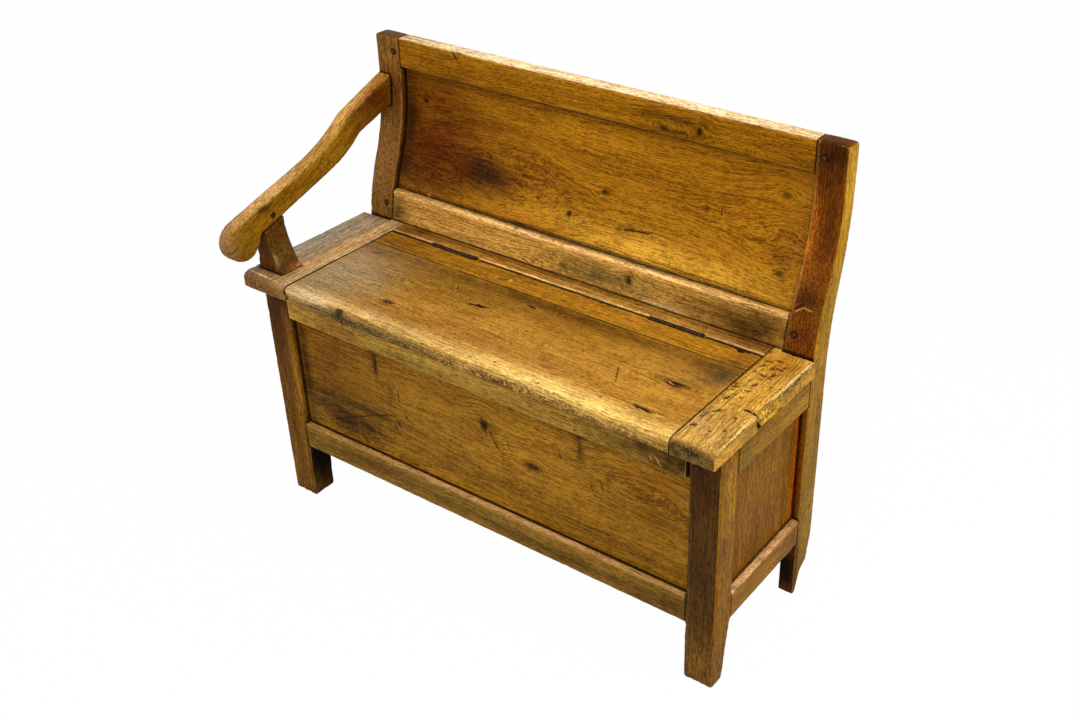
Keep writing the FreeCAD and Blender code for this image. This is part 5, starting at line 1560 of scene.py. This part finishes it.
@dataclass(frozen=True)
class Seat(Section):
    """The lid's boards, the hinge board and the two seat ends."""

    top: Face = Face(2, 470)
    above: Face = Face(2, 472)
    outer: Face = Face(0, 468)
    prick_reach: Point = (3.0, 2.4, 3.0)
    prick_depth: float = 1.2

    def boards(self) -> list[Board]:
        """The lid's boards first, then the fixed ones."""
        return [
            self._lid_front_board(),
            self._lid_rear_board(),
            self._hinge_board(),
            self._seat_end_left(),
            self._seat_end_right(),
        ]

    def _lid_front_board(self) -> Board:
        """The lid's wide front board with its rounded, battered nose."""
        return Board(
            "lid_front_board", SEAT_WOOD, Grain.LONG_FLAT, linear(168, 122, 44), body="lid", voxel=2.2,
            nicks=24,
            knots=(
                *self.top.knots(
                    (-196, 34, 16, 8, 1.0), (-256, 63, 15, 7, 0.6), (-229, 102, 8, 6, 0.8),
                    (-62, 109, 14, 5, 1.0), (324, 91, 24, 11, 1.0), (322, 10, 22, 7, 1.0),
                ),
                *several(Knot,
                    ((-245, -28, 449), 14, 6, 1.0),
                ),
                *self.top.knots(
                    (5, 155, 8, 4, 0.8), (98, 71, 6, 4, 0.5),
                ),
            ),
            stains_and_light=(
                *self.above.stains_and_light(14,
                    # Painted sheen: the first patch on the next line greys the lid's left end, standing in
                    # for a highlight
                    (-330, 70, 90, 120, (160, 142, 108), 0.85), (-300, 150, 90, 26, (126, 96, 52), 0.6),
                    (-120, 128, 160, 50, (132, 94, 30), 0.75), (120, 140, 130, 44, (138, 94, 26), 0.7),
                    (340, 140, 60, 44, (124, 90, 40), 0.6), (60, 169, 380, 19, (92, 62, 15), 1.0),
                    (40, 70, 170, 34, (176, 128, 50), 0.5), (60, 22, 260, 20, (156, 104, 46), 0.65),
                ),
                *several(StainOrLight,
                    # Pale bands along the nose: wear with painted sheen; the whitish patch at the nose's
                    # left end is painted sheen
                    ((180, -20, 470), (240, 22, 14), (240, 202, 112), 0.95),
                    ((190, -44, 468), (220, 14, 9), (240, 206, 128), 0.9),
                    ((-180, -16, 470), (170, 14, 14), (204, 168, 104), 0.85),
                    ((-330, -24, 468), (60, 18, 16), (214, 190, 144), 0.8),
                    ((300, 50, 472), (70, 40, 14), (184, 134, 48), 0.6),
                    ((372, 152, 472), (20, 26, 14), (76, 60, 34), 0.85),
                    ((0, -34, 441), (460, 26, 4), (72, 52, 20), 0.9),
                    ((0, -30, 450), (460, 30, 18), (132, 104, 44), 0.7, FRONT),
                    ((-190, -30, 450), (150, 30, 14), (98, 82, 42), 0.8, FRONT),
                    ((70, -30, 455), (120, 30, 9), (206, 158, 76), 0.8, FRONT),
                    ((290, -30, 452), (110, 30, 9), (196, 148, 62), 0.8, FRONT),
                    ((-245, -34, 449), (26, 16, 9), (58, 50, 36), 0.85),
                ),
            ),
            lines=(
                *self.top.lines(
                    (-344, 150, -334, 152, 2.4), (-334, 152, -326, 166, 2.2),
                    (-146, 156, -124, 121, 1.6, 0.6), (-84, 104, -46, 113, 4.4), (-70, 112, -60, 106, 4.0),
                    (-2, 157, 18, 153, 3.4), (71, 160, 75, 159, 3.0), (56, 163, 62, 162, 2.2),
                    (230, 84, 250, 46, 2.4, 0.75), (66, -9, 68, -11, 3.4), (253, 4, 255, 3, 3.6),
                    (152, -22, 160, -18, 2.8, 0.7), (305, 13, 340, 8, 3.8), (316, 9, 330, 7, 1.4, -0.6),
                    (314, 93, 324, 89, 2.2, -0.5), (306, 97, 350, 94, 2.6, 0.8),
                    (318, 84, 334, 86, 2.2, 0.7), (-196, 34, -193, 34, 2.2, -0.35),
                    (-210, 38, -182, 36, 2.0, 0.6),
                ),
                *several(Line,
                    ((-136, -34, 464), (-124, -34, 463), 3.4),
                    # Pale lines along the nose's top arris: a rubbed arris with a painted highlight
                    ((-345, -19, 470), (-110, -27, 468), 1.7, -0.85),
                    ((-110, -27, 468), (54, -30, 463), 1.7, -0.85),
                    ((54, -30, 463), (216, -30, 458), 1.7, -0.85),
                    ((216, -30, 458), (380, -30, 450), 1.7, -0.8),
                    ((-320, -30, 455), (-100, -30, 452), 1.8, 0.85),
                    ((-60, -30, 450), (150, -30, 449), 1.6, 0.8),
                    ((130, -30, 446), (330, -30, 444), 1.6, 0.85),
                ),
            ),
            crumbles=several(Crumble,
                ((90, -32, 453), (150, 26, 8), 1.0), ((300, -32, 447), (100, 26, 8), 0.8),
                ((-170, -32, 447), (140, 24, 9), 0.7),
            ),
        )

    def _lid_rear_board(self) -> Board:
        """The lid's narrow rear board."""
        return Board(
            "lid_rear_board", SEAT_WOOD, Grain.LONG_FLAT, linear(156, 108, 26), body="lid", voxel=2.0,
            knots=self.top.knots(
                (-91, 203, 12, 5, 0.6),
            ),
            stains_and_light=several(StainOrLight,
                ((-330, 205, 472), (90, 40, 14), (122, 82, 20), 0.7),
                ((372, 196, 472), (24, 26, 14), (100, 66, 22), 0.7),
                ((120, 215, 472), (160, 14, 14), (172, 122, 34), 0.6),
            ),
            lines=self.top.lines(
                (-100, 200, -80, 207, 2.8), (-80, 207, -76, 207, 4.0, -0.5), (345, 232, 372, 232, 7.0, 1.0),
                (352, 228, 362, 226, 5.0, 1.0),
            ),
        )

    def _hinge_board(self) -> Board:
        """The fixed board behind the lid."""
        return Board(
            "hinge_board", SEAT_WOOD, Grain.LONG_FLAT, linear(172, 124, 48), voxel=2.0,
            stains_and_light=several(StainOrLight,
                ((360, 260, 472), (80, 40, 14), (96, 60, 22), 0.7),
                ((-340, 255, 472), (80, 40, 14), (96, 54, 16), 0.75),
                ((0, 263, 472), (500, 6, 14), (92, 56, 18), 0.7),
                # Pale line along the front edge: wear with a painted highlight
                ((0, 239, 471), (500, 3, 4), (226, 186, 120), 0.8),
            ),
            lines=self.top.lines(
                (-380, 259, 60, 258, 1.4, 0.9), (60, 258, 390, 259, 1.4, 0.9),
            ),
        )

    def _seat_end_left(self) -> Board:
        """The seat end under the arm, its top greyed by painted sheen."""
        return Board(
            "seat_end_left", SEAT_WOOD, Grain.DEEP_FLAT, linear(140, 98, 46),
            stains_and_light=(
                *several(StainOrLight,
                    # Painted sheen: greys the top, on faces turned up
                    ((-420, 140, 472), (260, 500, 40), (176, 154, 114), 1.0, UP),
                ),
                *self.above.stains_and_light(12,
                    # Painted sheen: grey on the outer end of the top
                    (-468, 150, 36, 130, (138, 126, 108), 0.95, UP),
                    (-424, 120, 14, 60, (150, 124, 90), 0.6), (-396, 130, 16, 140, (214, 164, 92), 0.85),
                    (-440, 0, 50, 34, (108, 70, 28), 0.7),
                ),
                *several(StainOrLight,
                    ((-440, -24, 466), (60, 10, 8), (112, 76, 36), 0.5),
                    ((-440, -30, 452), (60, 12, 14), (104, 70, 30), 0.7, FRONT),
                    ((-440, 262, 472), (60, 18, 12), (104, 78, 54), 0.6),
                ),
            ),
            lines=self.top.lines(
                # The first, pale line on the next line: a highlight painted along the nose's top arris,
                # over wear
                (-472, -17, -396, -20, 2.0, -0.8), (-394, 209, -391, 208, 4.0),
                (-452, 150, -446, 220, 1.0, 0.4), (-414, 40, -412, 200, 1.0, 0.5),
            ),
            crumbles=several(Crumble,
                ((-440, -34, 452), (60, 12, 10), 0.5),
            ),
        )

    def _seat_end_right(self) -> Board:
        """The right seat end with its torn notch and many pricks."""
        return Board(
            "seat_end_right", CHEST_WOOD, Grain.DEEP_FLAT, linear(200, 156, 66), voxel=1.6, nicks=20,
            stains_and_light=(
                *self.above.stains_and_light(10,
                    (430, 228, 70, 56, (158, 104, 26), 0.9), (430, 150, 50, 60, (196, 146, 56), 0.6),
                    (426, 20, 60, 44, (182, 144, 82), 0.8), (403, 52, 6, 10, (104, 88, 70), 0.8),
                ),
                *several(StainOrLight,
                    ((430, -31, 455), (70, 14, 40), (34, 24, 14), 1.0, FRONT),
                    ((418, -32, 464), (40, 9, 9), (60, 42, 24), 1.0),
                    ((470, 40, 468), (6, 80, 6), (236, 190, 100), 0.9),
                    ((468, 190, 470), (6, 70, 6), (230, 202, 132), 0.9),
                    ((469, 100, 450), (30, 200, 30), (174, 123, 14), 0.9, RIGHT),
                    ((469, 60, 446), (8, 14, 16), (112, 100, 58), 0.7, RIGHT),
                    ((460, 128, 452), (12, 22, 12), (232, 178, 64), 1.0),
                    # Painted shadow: the dark patch in the torn notch
                    ((460, 95, 453), (14, 7, 13), (40, 28, 12), 1.0),
                    ((466, 160, 424), (8, 5, 12), (60, 40, 16), 1.0),
                ),
            ),
            lines=(
                *self.top.lines(
                    (400, 17, 407, 22, 4.4), (407, 62, 420, 76, 3.0), (404, 100, 408, 110, 4.6),
                    (398, 40, 403, 46, 3.0, 0.7), (398, 136, 405, 139, 4.4), (420, 152, 424, 160, 4.2),
                    (414, 188, 424, 186, 4.2), (430, 190, 434, 199, 4.2), (418, 134, 428, 138, 2.8),
                    (428, 215, 438, 213, 4.4), (404, 206, 410, 214, 4.4), (463, 130, 464, 262, 2.4, -0.9),
                    (414, 234, 428, 236, 3.4), (398, 90, 442, 96, 1.2, 0.6), (426, 40, 430, 90, 1.2, 0.5),
                    (414, 110, 418, 180, 1.2, 0.6), (440, 100, 442, 180, 1.2, 0.6),
                ),
                *several(Line,
                    ((467, -22, 469), (464, 76, 469), 2.4, -0.8),
                    # Dark lines at the notch's front wall: the split, darkened as painted shadow
                    ((444, 91, 470), (460, 94, 464), 5.0, 1.0),
                    ((461, 91, 464), (464, 100, 444), 11.0, 1.0),
                ),
                *self.outer.lines(
                    (170, 460, 172, 446, 2.2, 0.75), (184, 462, 187, 446, 2.0, 0.7),
                    (198, 462, 202, 444, 2.2, 0.75), (214, 462, 218, 446, 2.0, 0.7),
                    (126, 452, 140, 446, 3.2, 0.9), (150, 446, 158, 432, 3.6, 1.0),
                ),
            ),
            dents=(
                *several(Dent,
                    ((403, 19, 470), (5, 4, 4), 1.2), ((405, 105, 470), (5, 7, 4), 1.6),
                    ((401, 138, 470), (5, 5, 4), 1.6), ((419, 187, 470), (7, 4, 4), 1.6),
                    ((432, 194, 470), (4, 6, 4), 1.4), ((422, 156, 470), (4, 6, 4), 1.4),
                    ((414, 70, 470), (6, 7, 4), 1.2), ((468, 200, 466), (6, 50, 8), 2.0),
                    ((466, 98, 462), (13, 7, 19), 12.0, 0.35), ((469, 116, 458), (9, 15, 12), 8.0, 0.0),
                    ((469, 138, 454), (7, 13, 11), 4.5, 0.0), ((469, 158, 434), (6, 5, 12), 3.5),
                    ((466, 10, 468), (6, 60, 6), 1.2),
                ),
                *self._pricks(
                    (412, 227), (405, 226), (424, 210), (405, 190), (433, 184), (398, 146), (402, 128),
                    (423, 116), (411, 118), (410, 163), (422, 176), (436, 222), (396, 252), (413, 72),
                    (430, 18), (448, 30), (388, 170), (386, 148), (394, 124), (444, 66), (446, 164),
                ),
            ),
            crumbles=several(Crumble,
                ((430, -31, 460), (50, 12, 12), 0.35), ((468, 210, 462), (8, 60, 12), 0.8),
                ((467, 124, 452), (8, 30, 14), 0.9), ((468, 20, 468), (6, 60, 6), 0.4),
            ),
        )

    def _pricks(self, *spots: tuple[float, float]) -> tuple[Dent, ...]:
        """Small round holes in the seat's top."""
        return tuple(Dent(self.top.at(*spot), self.prick_reach, self.prick_depth, 1.0) for spot in spots)


@dataclass(frozen=True)
class Backrest(Section):
    """The framed back."""

    crest: Face = Face(1, 328)
    low: Face = Face(1, 272)

    def boards(self) -> list[Board]:
        """The two rails, then the panel."""
        return [
            self._backrest_crest_rail(),
            self._backrest_bottom_rail(),
            self._backrest_panel(),
        ]

    def _backrest_crest_rail(self) -> Board:
        """The top rail of the back."""
        return Board(
            "backrest_crest_rail", FRAME_WOOD, Grain.LONG_UPRIGHT, linear(152, 102, 12),
            knots=self.crest.knots(
                (145, 751, 14, 8, 0.9), (211, 759, 8, 10, 1.0), (180, 757, 16, 9, 0.5),
            ),
            stains_and_light=(
                *several(StainOrLight,
                    ((0, 345, 794), (560, 40, 30), (255, 228, 176), 1.0, UP),
                    ((60, 350, 799), (200, 40, 8), (190, 142, 70), 0.4, UP),
                ),
                *self.crest.stains_and_light(8,
                    (165, 770, 70, 9, (74, 46, 8), 0.75), (170, 748, 60, 8, (92, 58, 10), 0.6),
                    (384, 755, 70, 34, (120, 72, 10), 0.7), (-300, 750, 110, 30, (134, 84, 10), 0.6),
                    (-60, 740, 120, 10, (172, 118, 22), 0.6), (0, 728, 520, 4, (176, 124, 40), 0.7),
                ),
            ),
            lines=(
                *self.crest.lines(
                    (-283, 790, -274, 782, 4.0), (60, 742, 140, 744, 1.2, 0.6),
                    (240, 752, 330, 750, 1.4, 0.7), (-380, 752, -330, 754, 1.2, 0.5),
                ),
                *several(Line,
                    ((303, 326, 791), (314, 328, 793), 3.0), ((366, 338, 794), (368, 339, 794), 2.6),
                ),
            ),
        )

    def _backrest_bottom_rail(self) -> Board:
        """The low rail of the back."""
        return Board(
            "backrest_bottom_rail", FRAME_WOOD, Grain.LONG_UPRIGHT, linear(200, 152, 66),
            knots=several(Knot,
                ((117, 273, 499), 8, 13, 0.9), ((-79, 270, 480), 8, 6, 0.8), ((-14, 271, 489), 9, 7, 0.7),
            ),
            stains_and_light=several(StainOrLight,
                ((60, 271, 492), (110, 12, 24), (100, 84, 42), 0.9),
                ((-395, 271, 490), (22, 14, 40), (64, 48, 28), 0.9),
                ((-280, 271, 490), (90, 14, 26), (204, 150, 76), 0.75),
                ((350, 272, 490), (120, 30, 40), (76, 48, 15), 1.0, FRONT),
                ((250, 272, 480), (60, 12, 20), (122, 84, 30), 0.7),
                ((0, 288, 525), (480, 6, 3), (112, 88, 66), 0.95),
                # Pale strip along the top arris: wear with a painted highlight
                ((0, 279, 522), (480, 4, 4), (246, 196, 124), 1.0),
                ((190, 272, 470), (40, 12, 10), (206, 178, 120), 0.6),
            ),
            lines=self.low.lines(
                (180, 476, 200, 474, 3.0, -0.7), (40, 505, 60, 500, 3.0, 0.6),
            ),
        )

    def _backrest_panel(self) -> Board:
        """The wide panel of the back."""
        return Board(
            "backrest_panel", PANEL_WOOD, Grain.LONG_UPRIGHT, linear(147, 98, 14), voxel=2.5,
            knots=several(Knot,
                ((-225, 316, 590), 66, 26, 0.42), ((-135, 318, 600), 30, 16, 0.25),
                ((-27, 309, 575), 8, 6, 1.0), ((35, 323, 615), 8, 6, 1.0), ((-363, 337, 681), 10, 8, 1.0),
                ((363, 338, 690), 16, 9, 0.8), ((228, 329, 635), 8, 5, 0.8), ((366, 326, 623), 34, 24, 0.3),
                ((373, 317, 595), 13, 10, 0.8), ((110, 308, 573), 26, 4, 0.7),
                ((-214, 294, 533), 8, 5, 0.8),
            ),
            stains_and_light=several(StainOrLight,
                ((-345, 320, 650), (120, 60, 140), (104, 52, 7), 0.95),
                # Painted shade: the dark strip where the panel meets the left stile
                ((-400, 320, 620), (20, 60, 150), (40, 26, 10), 0.9),
                ((-340, 312, 590), (90, 60, 50), (84, 40, 8), 0.8),
                ((-270, 316, 592), (104, 60, 36), (84, 38, 6), 0.9),
                ((-205, 316, 590), (46, 60, 24), (48, 24, 8), 0.85),
                ((-180, 316, 586), (22, 60, 14), (34, 18, 8), 0.7),
                ((-140, 316, 600), (50, 60, 22), (112, 62, 12), 0.55),
                ((-10, 335, 692), (130, 60, 30), (178, 120, 20), 0.7),
                ((140, 300, 540), (240, 60, 26), (208, 157, 50), 0.9),
                ((-120, 300, 534), (140, 60, 14), (168, 108, 24), 0.7),
                ((300, 330, 650), (60, 60, 50), (146, 92, 14), 0.5),
                ((373, 318, 598), (26, 60, 18), (96, 52, 12), 0.7),
                ((390, 320, 620), (14, 60, 120), (132, 84, 22), 0.7),
                # Grime and painted shadow: the dark strip along the panel's top, under the crest rail
                ((0, 345, 739), (520, 60, 4), (60, 34, 8), 0.9),
                ((0, 290, 528), (520, 60, 3), (40, 28, 12), 0.9),
            ),
            lines=several(Line,
                ((86, 307, 569), (111, 308, 573), 2.4), ((111, 308, 573), (138, 309, 575), 3.0),
                ((-357, 293, 531), (-355, 293, 530), 3.2), ((37, 295, 537), (38, 295, 536), 3.4),
                ((255, 331, 644), (256, 329, 630), 2.2), ((-335, 293, 530), (-331, 293, 528), 2.6, -0.9),
                ((180, 297, 552), (181, 295, 536), 2.0, 0.7), ((150, 294, 534), (340, 294, 533), 1.6, 0.8),
                ((310, 326, 628), (350, 330, 640), 1.4, 0.6), ((350, 330, 640), (385, 328, 632), 1.4, 0.6),
                ((320, 322, 612), (360, 318, 602), 1.2, 0.5),
                ((-300, 322, 614), (-170, 320, 606), 1.4, 0.6),
                ((-320, 308, 570), (-190, 306, 566), 1.4, 0.6),
                ((-130, 322, 618), (-100, 318, 602), 1.4, 0.5),
            ),
        )


@dataclass(frozen=True)
class Arm(Section):
    """The arm and its support."""

    side: Face = Face(0, -432)
    arris: Face = Face(0, -435)
    foot: Face = Face(0, -418)

    def boards(self) -> list[Board]:
        """The arm, then its support."""
        return [
            self._arm(),
            self._arm_support(),
        ]

    def _arm(self) -> Board:
        """The curved arm."""
        return Board(
            "arm", FRAME_WOOD, Grain.SLOPING, linear(132, 93, 17), voxel=1.8, softness=2, waver=0.2,
            stains_and_light=several(StainOrLight,
                # The top face lighter than the sides: wear with painted sheen
                ((-449, 20, 610), (40, 130, 50), (202, 156, 94), 0.95, ARM_TOP),
                ((-449, 200, 700), (40, 90, 50), (206, 158, 88), 0.95, ARM_TOP),
                ((-449, 290, 745), (40, 40, 30), (180, 112, 44), 0.8, ARM_TOP),
                ((-430, 170, 640), (8, 60, 40), (150, 108, 22), 0.6),
                ((-430, 286, 690), (14, 76, 36), (88, 38, 4), 1.0),
                # Painted sheen on the arm's nose: grey-brown glints, and a pale grey highlight on its outer
                # side
                ((-440, -72, 535), (30, 16, 30), (128, 98, 58), 0.8),
                ((-470, -60, 560), (16, 30, 34), (176, 156, 128), 0.8),
                ((-432, 5, 584), (6, 18, 8), (44, 30, 14), 0.85),
                ((-432, -40, 530), (6, 20, 18), (104, 76, 20), 0.6),
            ),
            lines=(
                *self.side.lines(
                    (-6, 584, 14, 590, 4.0, 0.8), (60, 600, 140, 640, 1.2, 0.5),
                    (180, 665, 240, 690, 1.4, 0.6),
                ),
                # Pale lines along the top inner arris: a rubbed arris with a painted highlight
                *self.arris.lines(
                    (318, 722, 210, 680, 2.2, -0.75), (210, 680, 184, 657, 2.8, -0.9),
                    (184, 657, 160, 645, 2.2, -0.75), (160, 645, 118, 626, 2.2, -0.75),
                    (118, 626, -62, 572, 2.2, -0.7),
                ),
            ),
        )

    def _arm_support(self) -> Board:
        """The upright under the arm."""
        return Board(
            "arm_support", FRAME_WOOD, Grain.TALL_FRONT, linear(80, 52, 14), voxel=1.6, softness=2,
            stains_and_light=several(StainOrLight,
                ((-440, 10, 500), (40, 40, 80), (84, 42, 8), 0.9, FRONT),
                ((-416, 40, 474), (16, 18, 6), (196, 130, 60), 0.8),
                ((-418, 26, 520), (8, 24, 40), (104, 82, 38), 0.6),
                ((-420, 2, 510), (4, 5, 60), (150, 118, 70), 0.7),
            ),
            lines=self.foot.lines(
                (14, 540, 22, 490, 1.2, 0.5),
            ),
        )


@dataclass(frozen=True)
class Inside(Section):
    """What only shows when the lid is up, or from below."""

    tone: Colour = linear(164, 122, 70)
    voxel: float = 5.0
    batten_voxel: float = 3.0
    nicks: int = 4
    floor_boards: int = 5

    def boards(self) -> list[Board]:
        """The ledgers, the box's bottom and the lid's battens."""
        floor = [f"floor_board_{number}" for number in range(1, self.floor_boards + 1)]
        return [
            *(self._raw(name, Grain.LONG_FLAT) for name in ("front_ledger", "rear_ledger")),
            *(self._raw(name, Grain.DEEP_FLAT) for name in floor),
            *(self._raw(name, Grain.DEEP_FLAT, body="lid", voxel=self.batten_voxel)
              for name in ("lid_batten_left", "lid_batten_right")),
        ]

    def _raw(self, name: str, grain: Grain, **settings: Any) -> Board:
        """A board of bare pine."""
        settings = {"voxel": self.voxel, "nicks": self.nicks, **settings}
        return Board(name, RAW_PINE, grain, self.tone, **settings)


@dataclass(frozen=True)
class Pegs(Section):
    """The oak pegs that pin the joints."""

    tone: Colour = linear(74, 52, 28)
    arm_tone: Colour = linear(56, 28, 10)
    softness: int = 1

    def boards(self) -> list[Board]:
        """The pegs driven in from the front, then the arm's."""
        plain = {"nicks": 0, "waver": 0.0, "softness": self.softness, "tree": PegTree()}
        return [
            *(PegSet(name, PEG_WOOD, Grain.DEEP_FLAT, self.tone, **plain)
              for name in ("crest_pegs", "back_rail_pegs", "front_rail_pegs")),
            PegSet("arm_peg", PEG_WOOD, Grain.LONG_FLAT, self.arm_tone, **plain),
        ]


@dataclass(frozen=True)
class Fittings(Section):
    """The hinges and screws, which keep their CAD shapes."""

    sides: tuple[str, ...] = ("left", "right")
    hinge_parts: tuple[str, ...] = ("hinge_fixed_leaf", "hinge_lid_leaf", "hinge_pin")
    screws: tuple[str, ...] = ("hinge_board_screws", "hinge_lid_screws", "batten_screws")

    def build(self, bench: Bench) -> list[bpy.types.Object]:
        """Dresses every hinge and screw.

        Args:
            bench: The bench that holds them.

        Returns:
            The dressed nodes.
        """
        iron = bench.workshop.metal(HINGE_IRON)
        steel = bench.workshop.metal(SCREW_STEEL)
        hinges = [bench.dress(f"{part}_{side}", iron) for part in self.hinge_parts for side in self.sides]
        return hinges + [bench.dress(name, steel) for name in self.screws]


@dataclass(frozen=True)
class Lamp:
    """A square soft light, aimed at the bench."""

    name: str
    place: Point
    side: float
    power: float


@dataclass
class Studio:
    """The pale floor, the lights and the camera."""

    floor_side: float = 40.0
    camera_place: Point = (1.17855, -1.40335, 1.4960)
    yaw: float = 34.58
    pitch: float = 31.92
    focal_pixels: float = 1289.27
    middle: tuple[float, float] = (628.05, 365.96)
    lamp_aim: Point = (0.0, 0.0, 0.4)
    floor_colour: Colour = (0.8, 0.8, 0.8)
    floor_white: float = 0.985
    sky_colour: Colour = (1.0, 0.98, 0.95)
    sky_strength: float = 0.4
    lamps: tuple[Lamp, ...] = (
        Lamp("key", (1.2, -0.9, 2.8), 1.8, 78.0),
        Lamp("side", (2.6, 0.6, 1.6), 1.6, 22.0),
        Lamp("fill", (-1.6, -2.6, 1.4), 2.0, 18.0),
    )

    def build(self) -> None:
        """Makes everything around the bench."""
        self._floor()
        self._world()
        for lamp in self.lamps:
            self._lamp(lamp)
        self._camera()

    def _floor(self) -> None:
        """A wide pale floor that the camera sees nearly white."""
        mesh = bpy.data.meshes.new("floor")
        half = self.floor_side / 2
        corners = [(-half, -half, 0), (half, -half, 0), (half, half, 0), (-half, half, 0)]
        mesh.from_pydata(corners, [], [(0, 1, 2, 3)])
        floor = bpy.data.objects.new("floor", mesh)
        bpy.context.scene.collection.objects.link(floor)
        material = bpy.data.materials.new("floor")
        material.use_nodes = True
        build = NodeBuilder(material.node_tree)
        shader = material.node_tree.nodes["Principled BSDF"]
        shader.inputs["Base Color"].default_value = (*self.floor_colour, 1)
        shader.inputs["Roughness"].default_value = 0.9
        glow = build.add("Emission", {"Color": (1.0, 1.0, 1.0), "Strength": 1.0})
        seen = build.math("MULTIPLY", build.add("LightPath").outputs["Is Camera Ray"], self.floor_white)
        mix = build.add("MixShader", {0: seen, 1: shader.outputs[0], 2: glow.outputs[0]})
        build.feed(material.node_tree.nodes["Material Output"].inputs["Surface"], mix.outputs[0])
        mesh.materials.append(material)

    def _world(self) -> None:
        """Even pale light from all round, seen and mirrored as white."""
        world = bpy.data.worlds.new("studio")
        world.use_nodes = True
        build = NodeBuilder(world.node_tree)
        back = world.node_tree.nodes["Background"]
        back.inputs["Color"].default_value = (*self.sky_colour, 1)
        back.inputs["Strength"].default_value = self.sky_strength
        white = build.add("Background", {"Color": (1.0, 1.0, 1.0), "Strength": 1.0})
        path = build.add("LightPath")
        mirrored = build.math("ADD", path.outputs["Is Glossy Ray"], path.outputs["Is Transmission Ray"])
        seen = build.math("ADD", path.outputs["Is Camera Ray"], mirrored, clamp=True)
        mix = build.add("MixShader", {0: seen, 1: back.outputs[0], 2: white.outputs[0]})
        build.feed(world.node_tree.nodes["World Output"].inputs["Surface"], mix.outputs[0])
        bpy.context.scene.world = world

    def _lamp(self, lamp: Lamp) -> None:
        """Hangs one soft light and aims it at the bench's middle.

        Args:
            lamp: The light's name, place, size and power.
        """
        data = bpy.data.lights.new(lamp.name, "AREA")
        data.shape = "SQUARE"
        data.size = lamp.side
        data.energy = lamp.power
        light = bpy.data.objects.new(lamp.name, data)
        light.location = lamp.place
        aim = Vector(self.lamp_aim) - Vector(lamp.place)
        light.rotation_euler = aim.to_track_quat("-Z", "Y").to_euler()
        bpy.context.scene.collection.objects.link(light)

    def _camera(self) -> None:
        """Sets the camera at the photo's viewpoint."""
        data = bpy.data.cameras.new("camera")
        data.sensor_width = SENSOR_WIDTH
        data.lens = self.focal_pixels / IMAGE_WIDTH * SENSOR_WIDTH
        data.shift_x = (IMAGE_WIDTH / 2 - self.middle[0]) / IMAGE_WIDTH
        data.shift_y = (self.middle[1] - IMAGE_HEIGHT / 2) / IMAGE_WIDTH
        camera = bpy.data.objects.new("camera", data)
        camera.location = self.camera_place
        camera.rotation_euler = (math.radians(90 - self.pitch), 0, math.radians(self.yaw))
        bpy.context.scene.collection.objects.link(camera)
        bpy.context.scene.camera = camera


def main() -> None:
    """Loads the frame, dresses the bench and sets up the studio."""
    logging.basicConfig(level=logging.INFO, format="%(message)s")
    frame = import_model()
    bench = Bench(frame["nodes"], Workshop())
    for section in (Legs(), Walls(), Seat(), Backrest(), Arm(), Inside(), Pegs(), Fittings()):
        for piece in section.build(bench):
            log.info("%s: %s, %d faces", type(section).__name__, piece.name, len(piece.data.polygons))
    Studio().build()
    bpy.context.scene.view_settings.view_transform = "Standard"


if __name__ == "__main__":
    main()
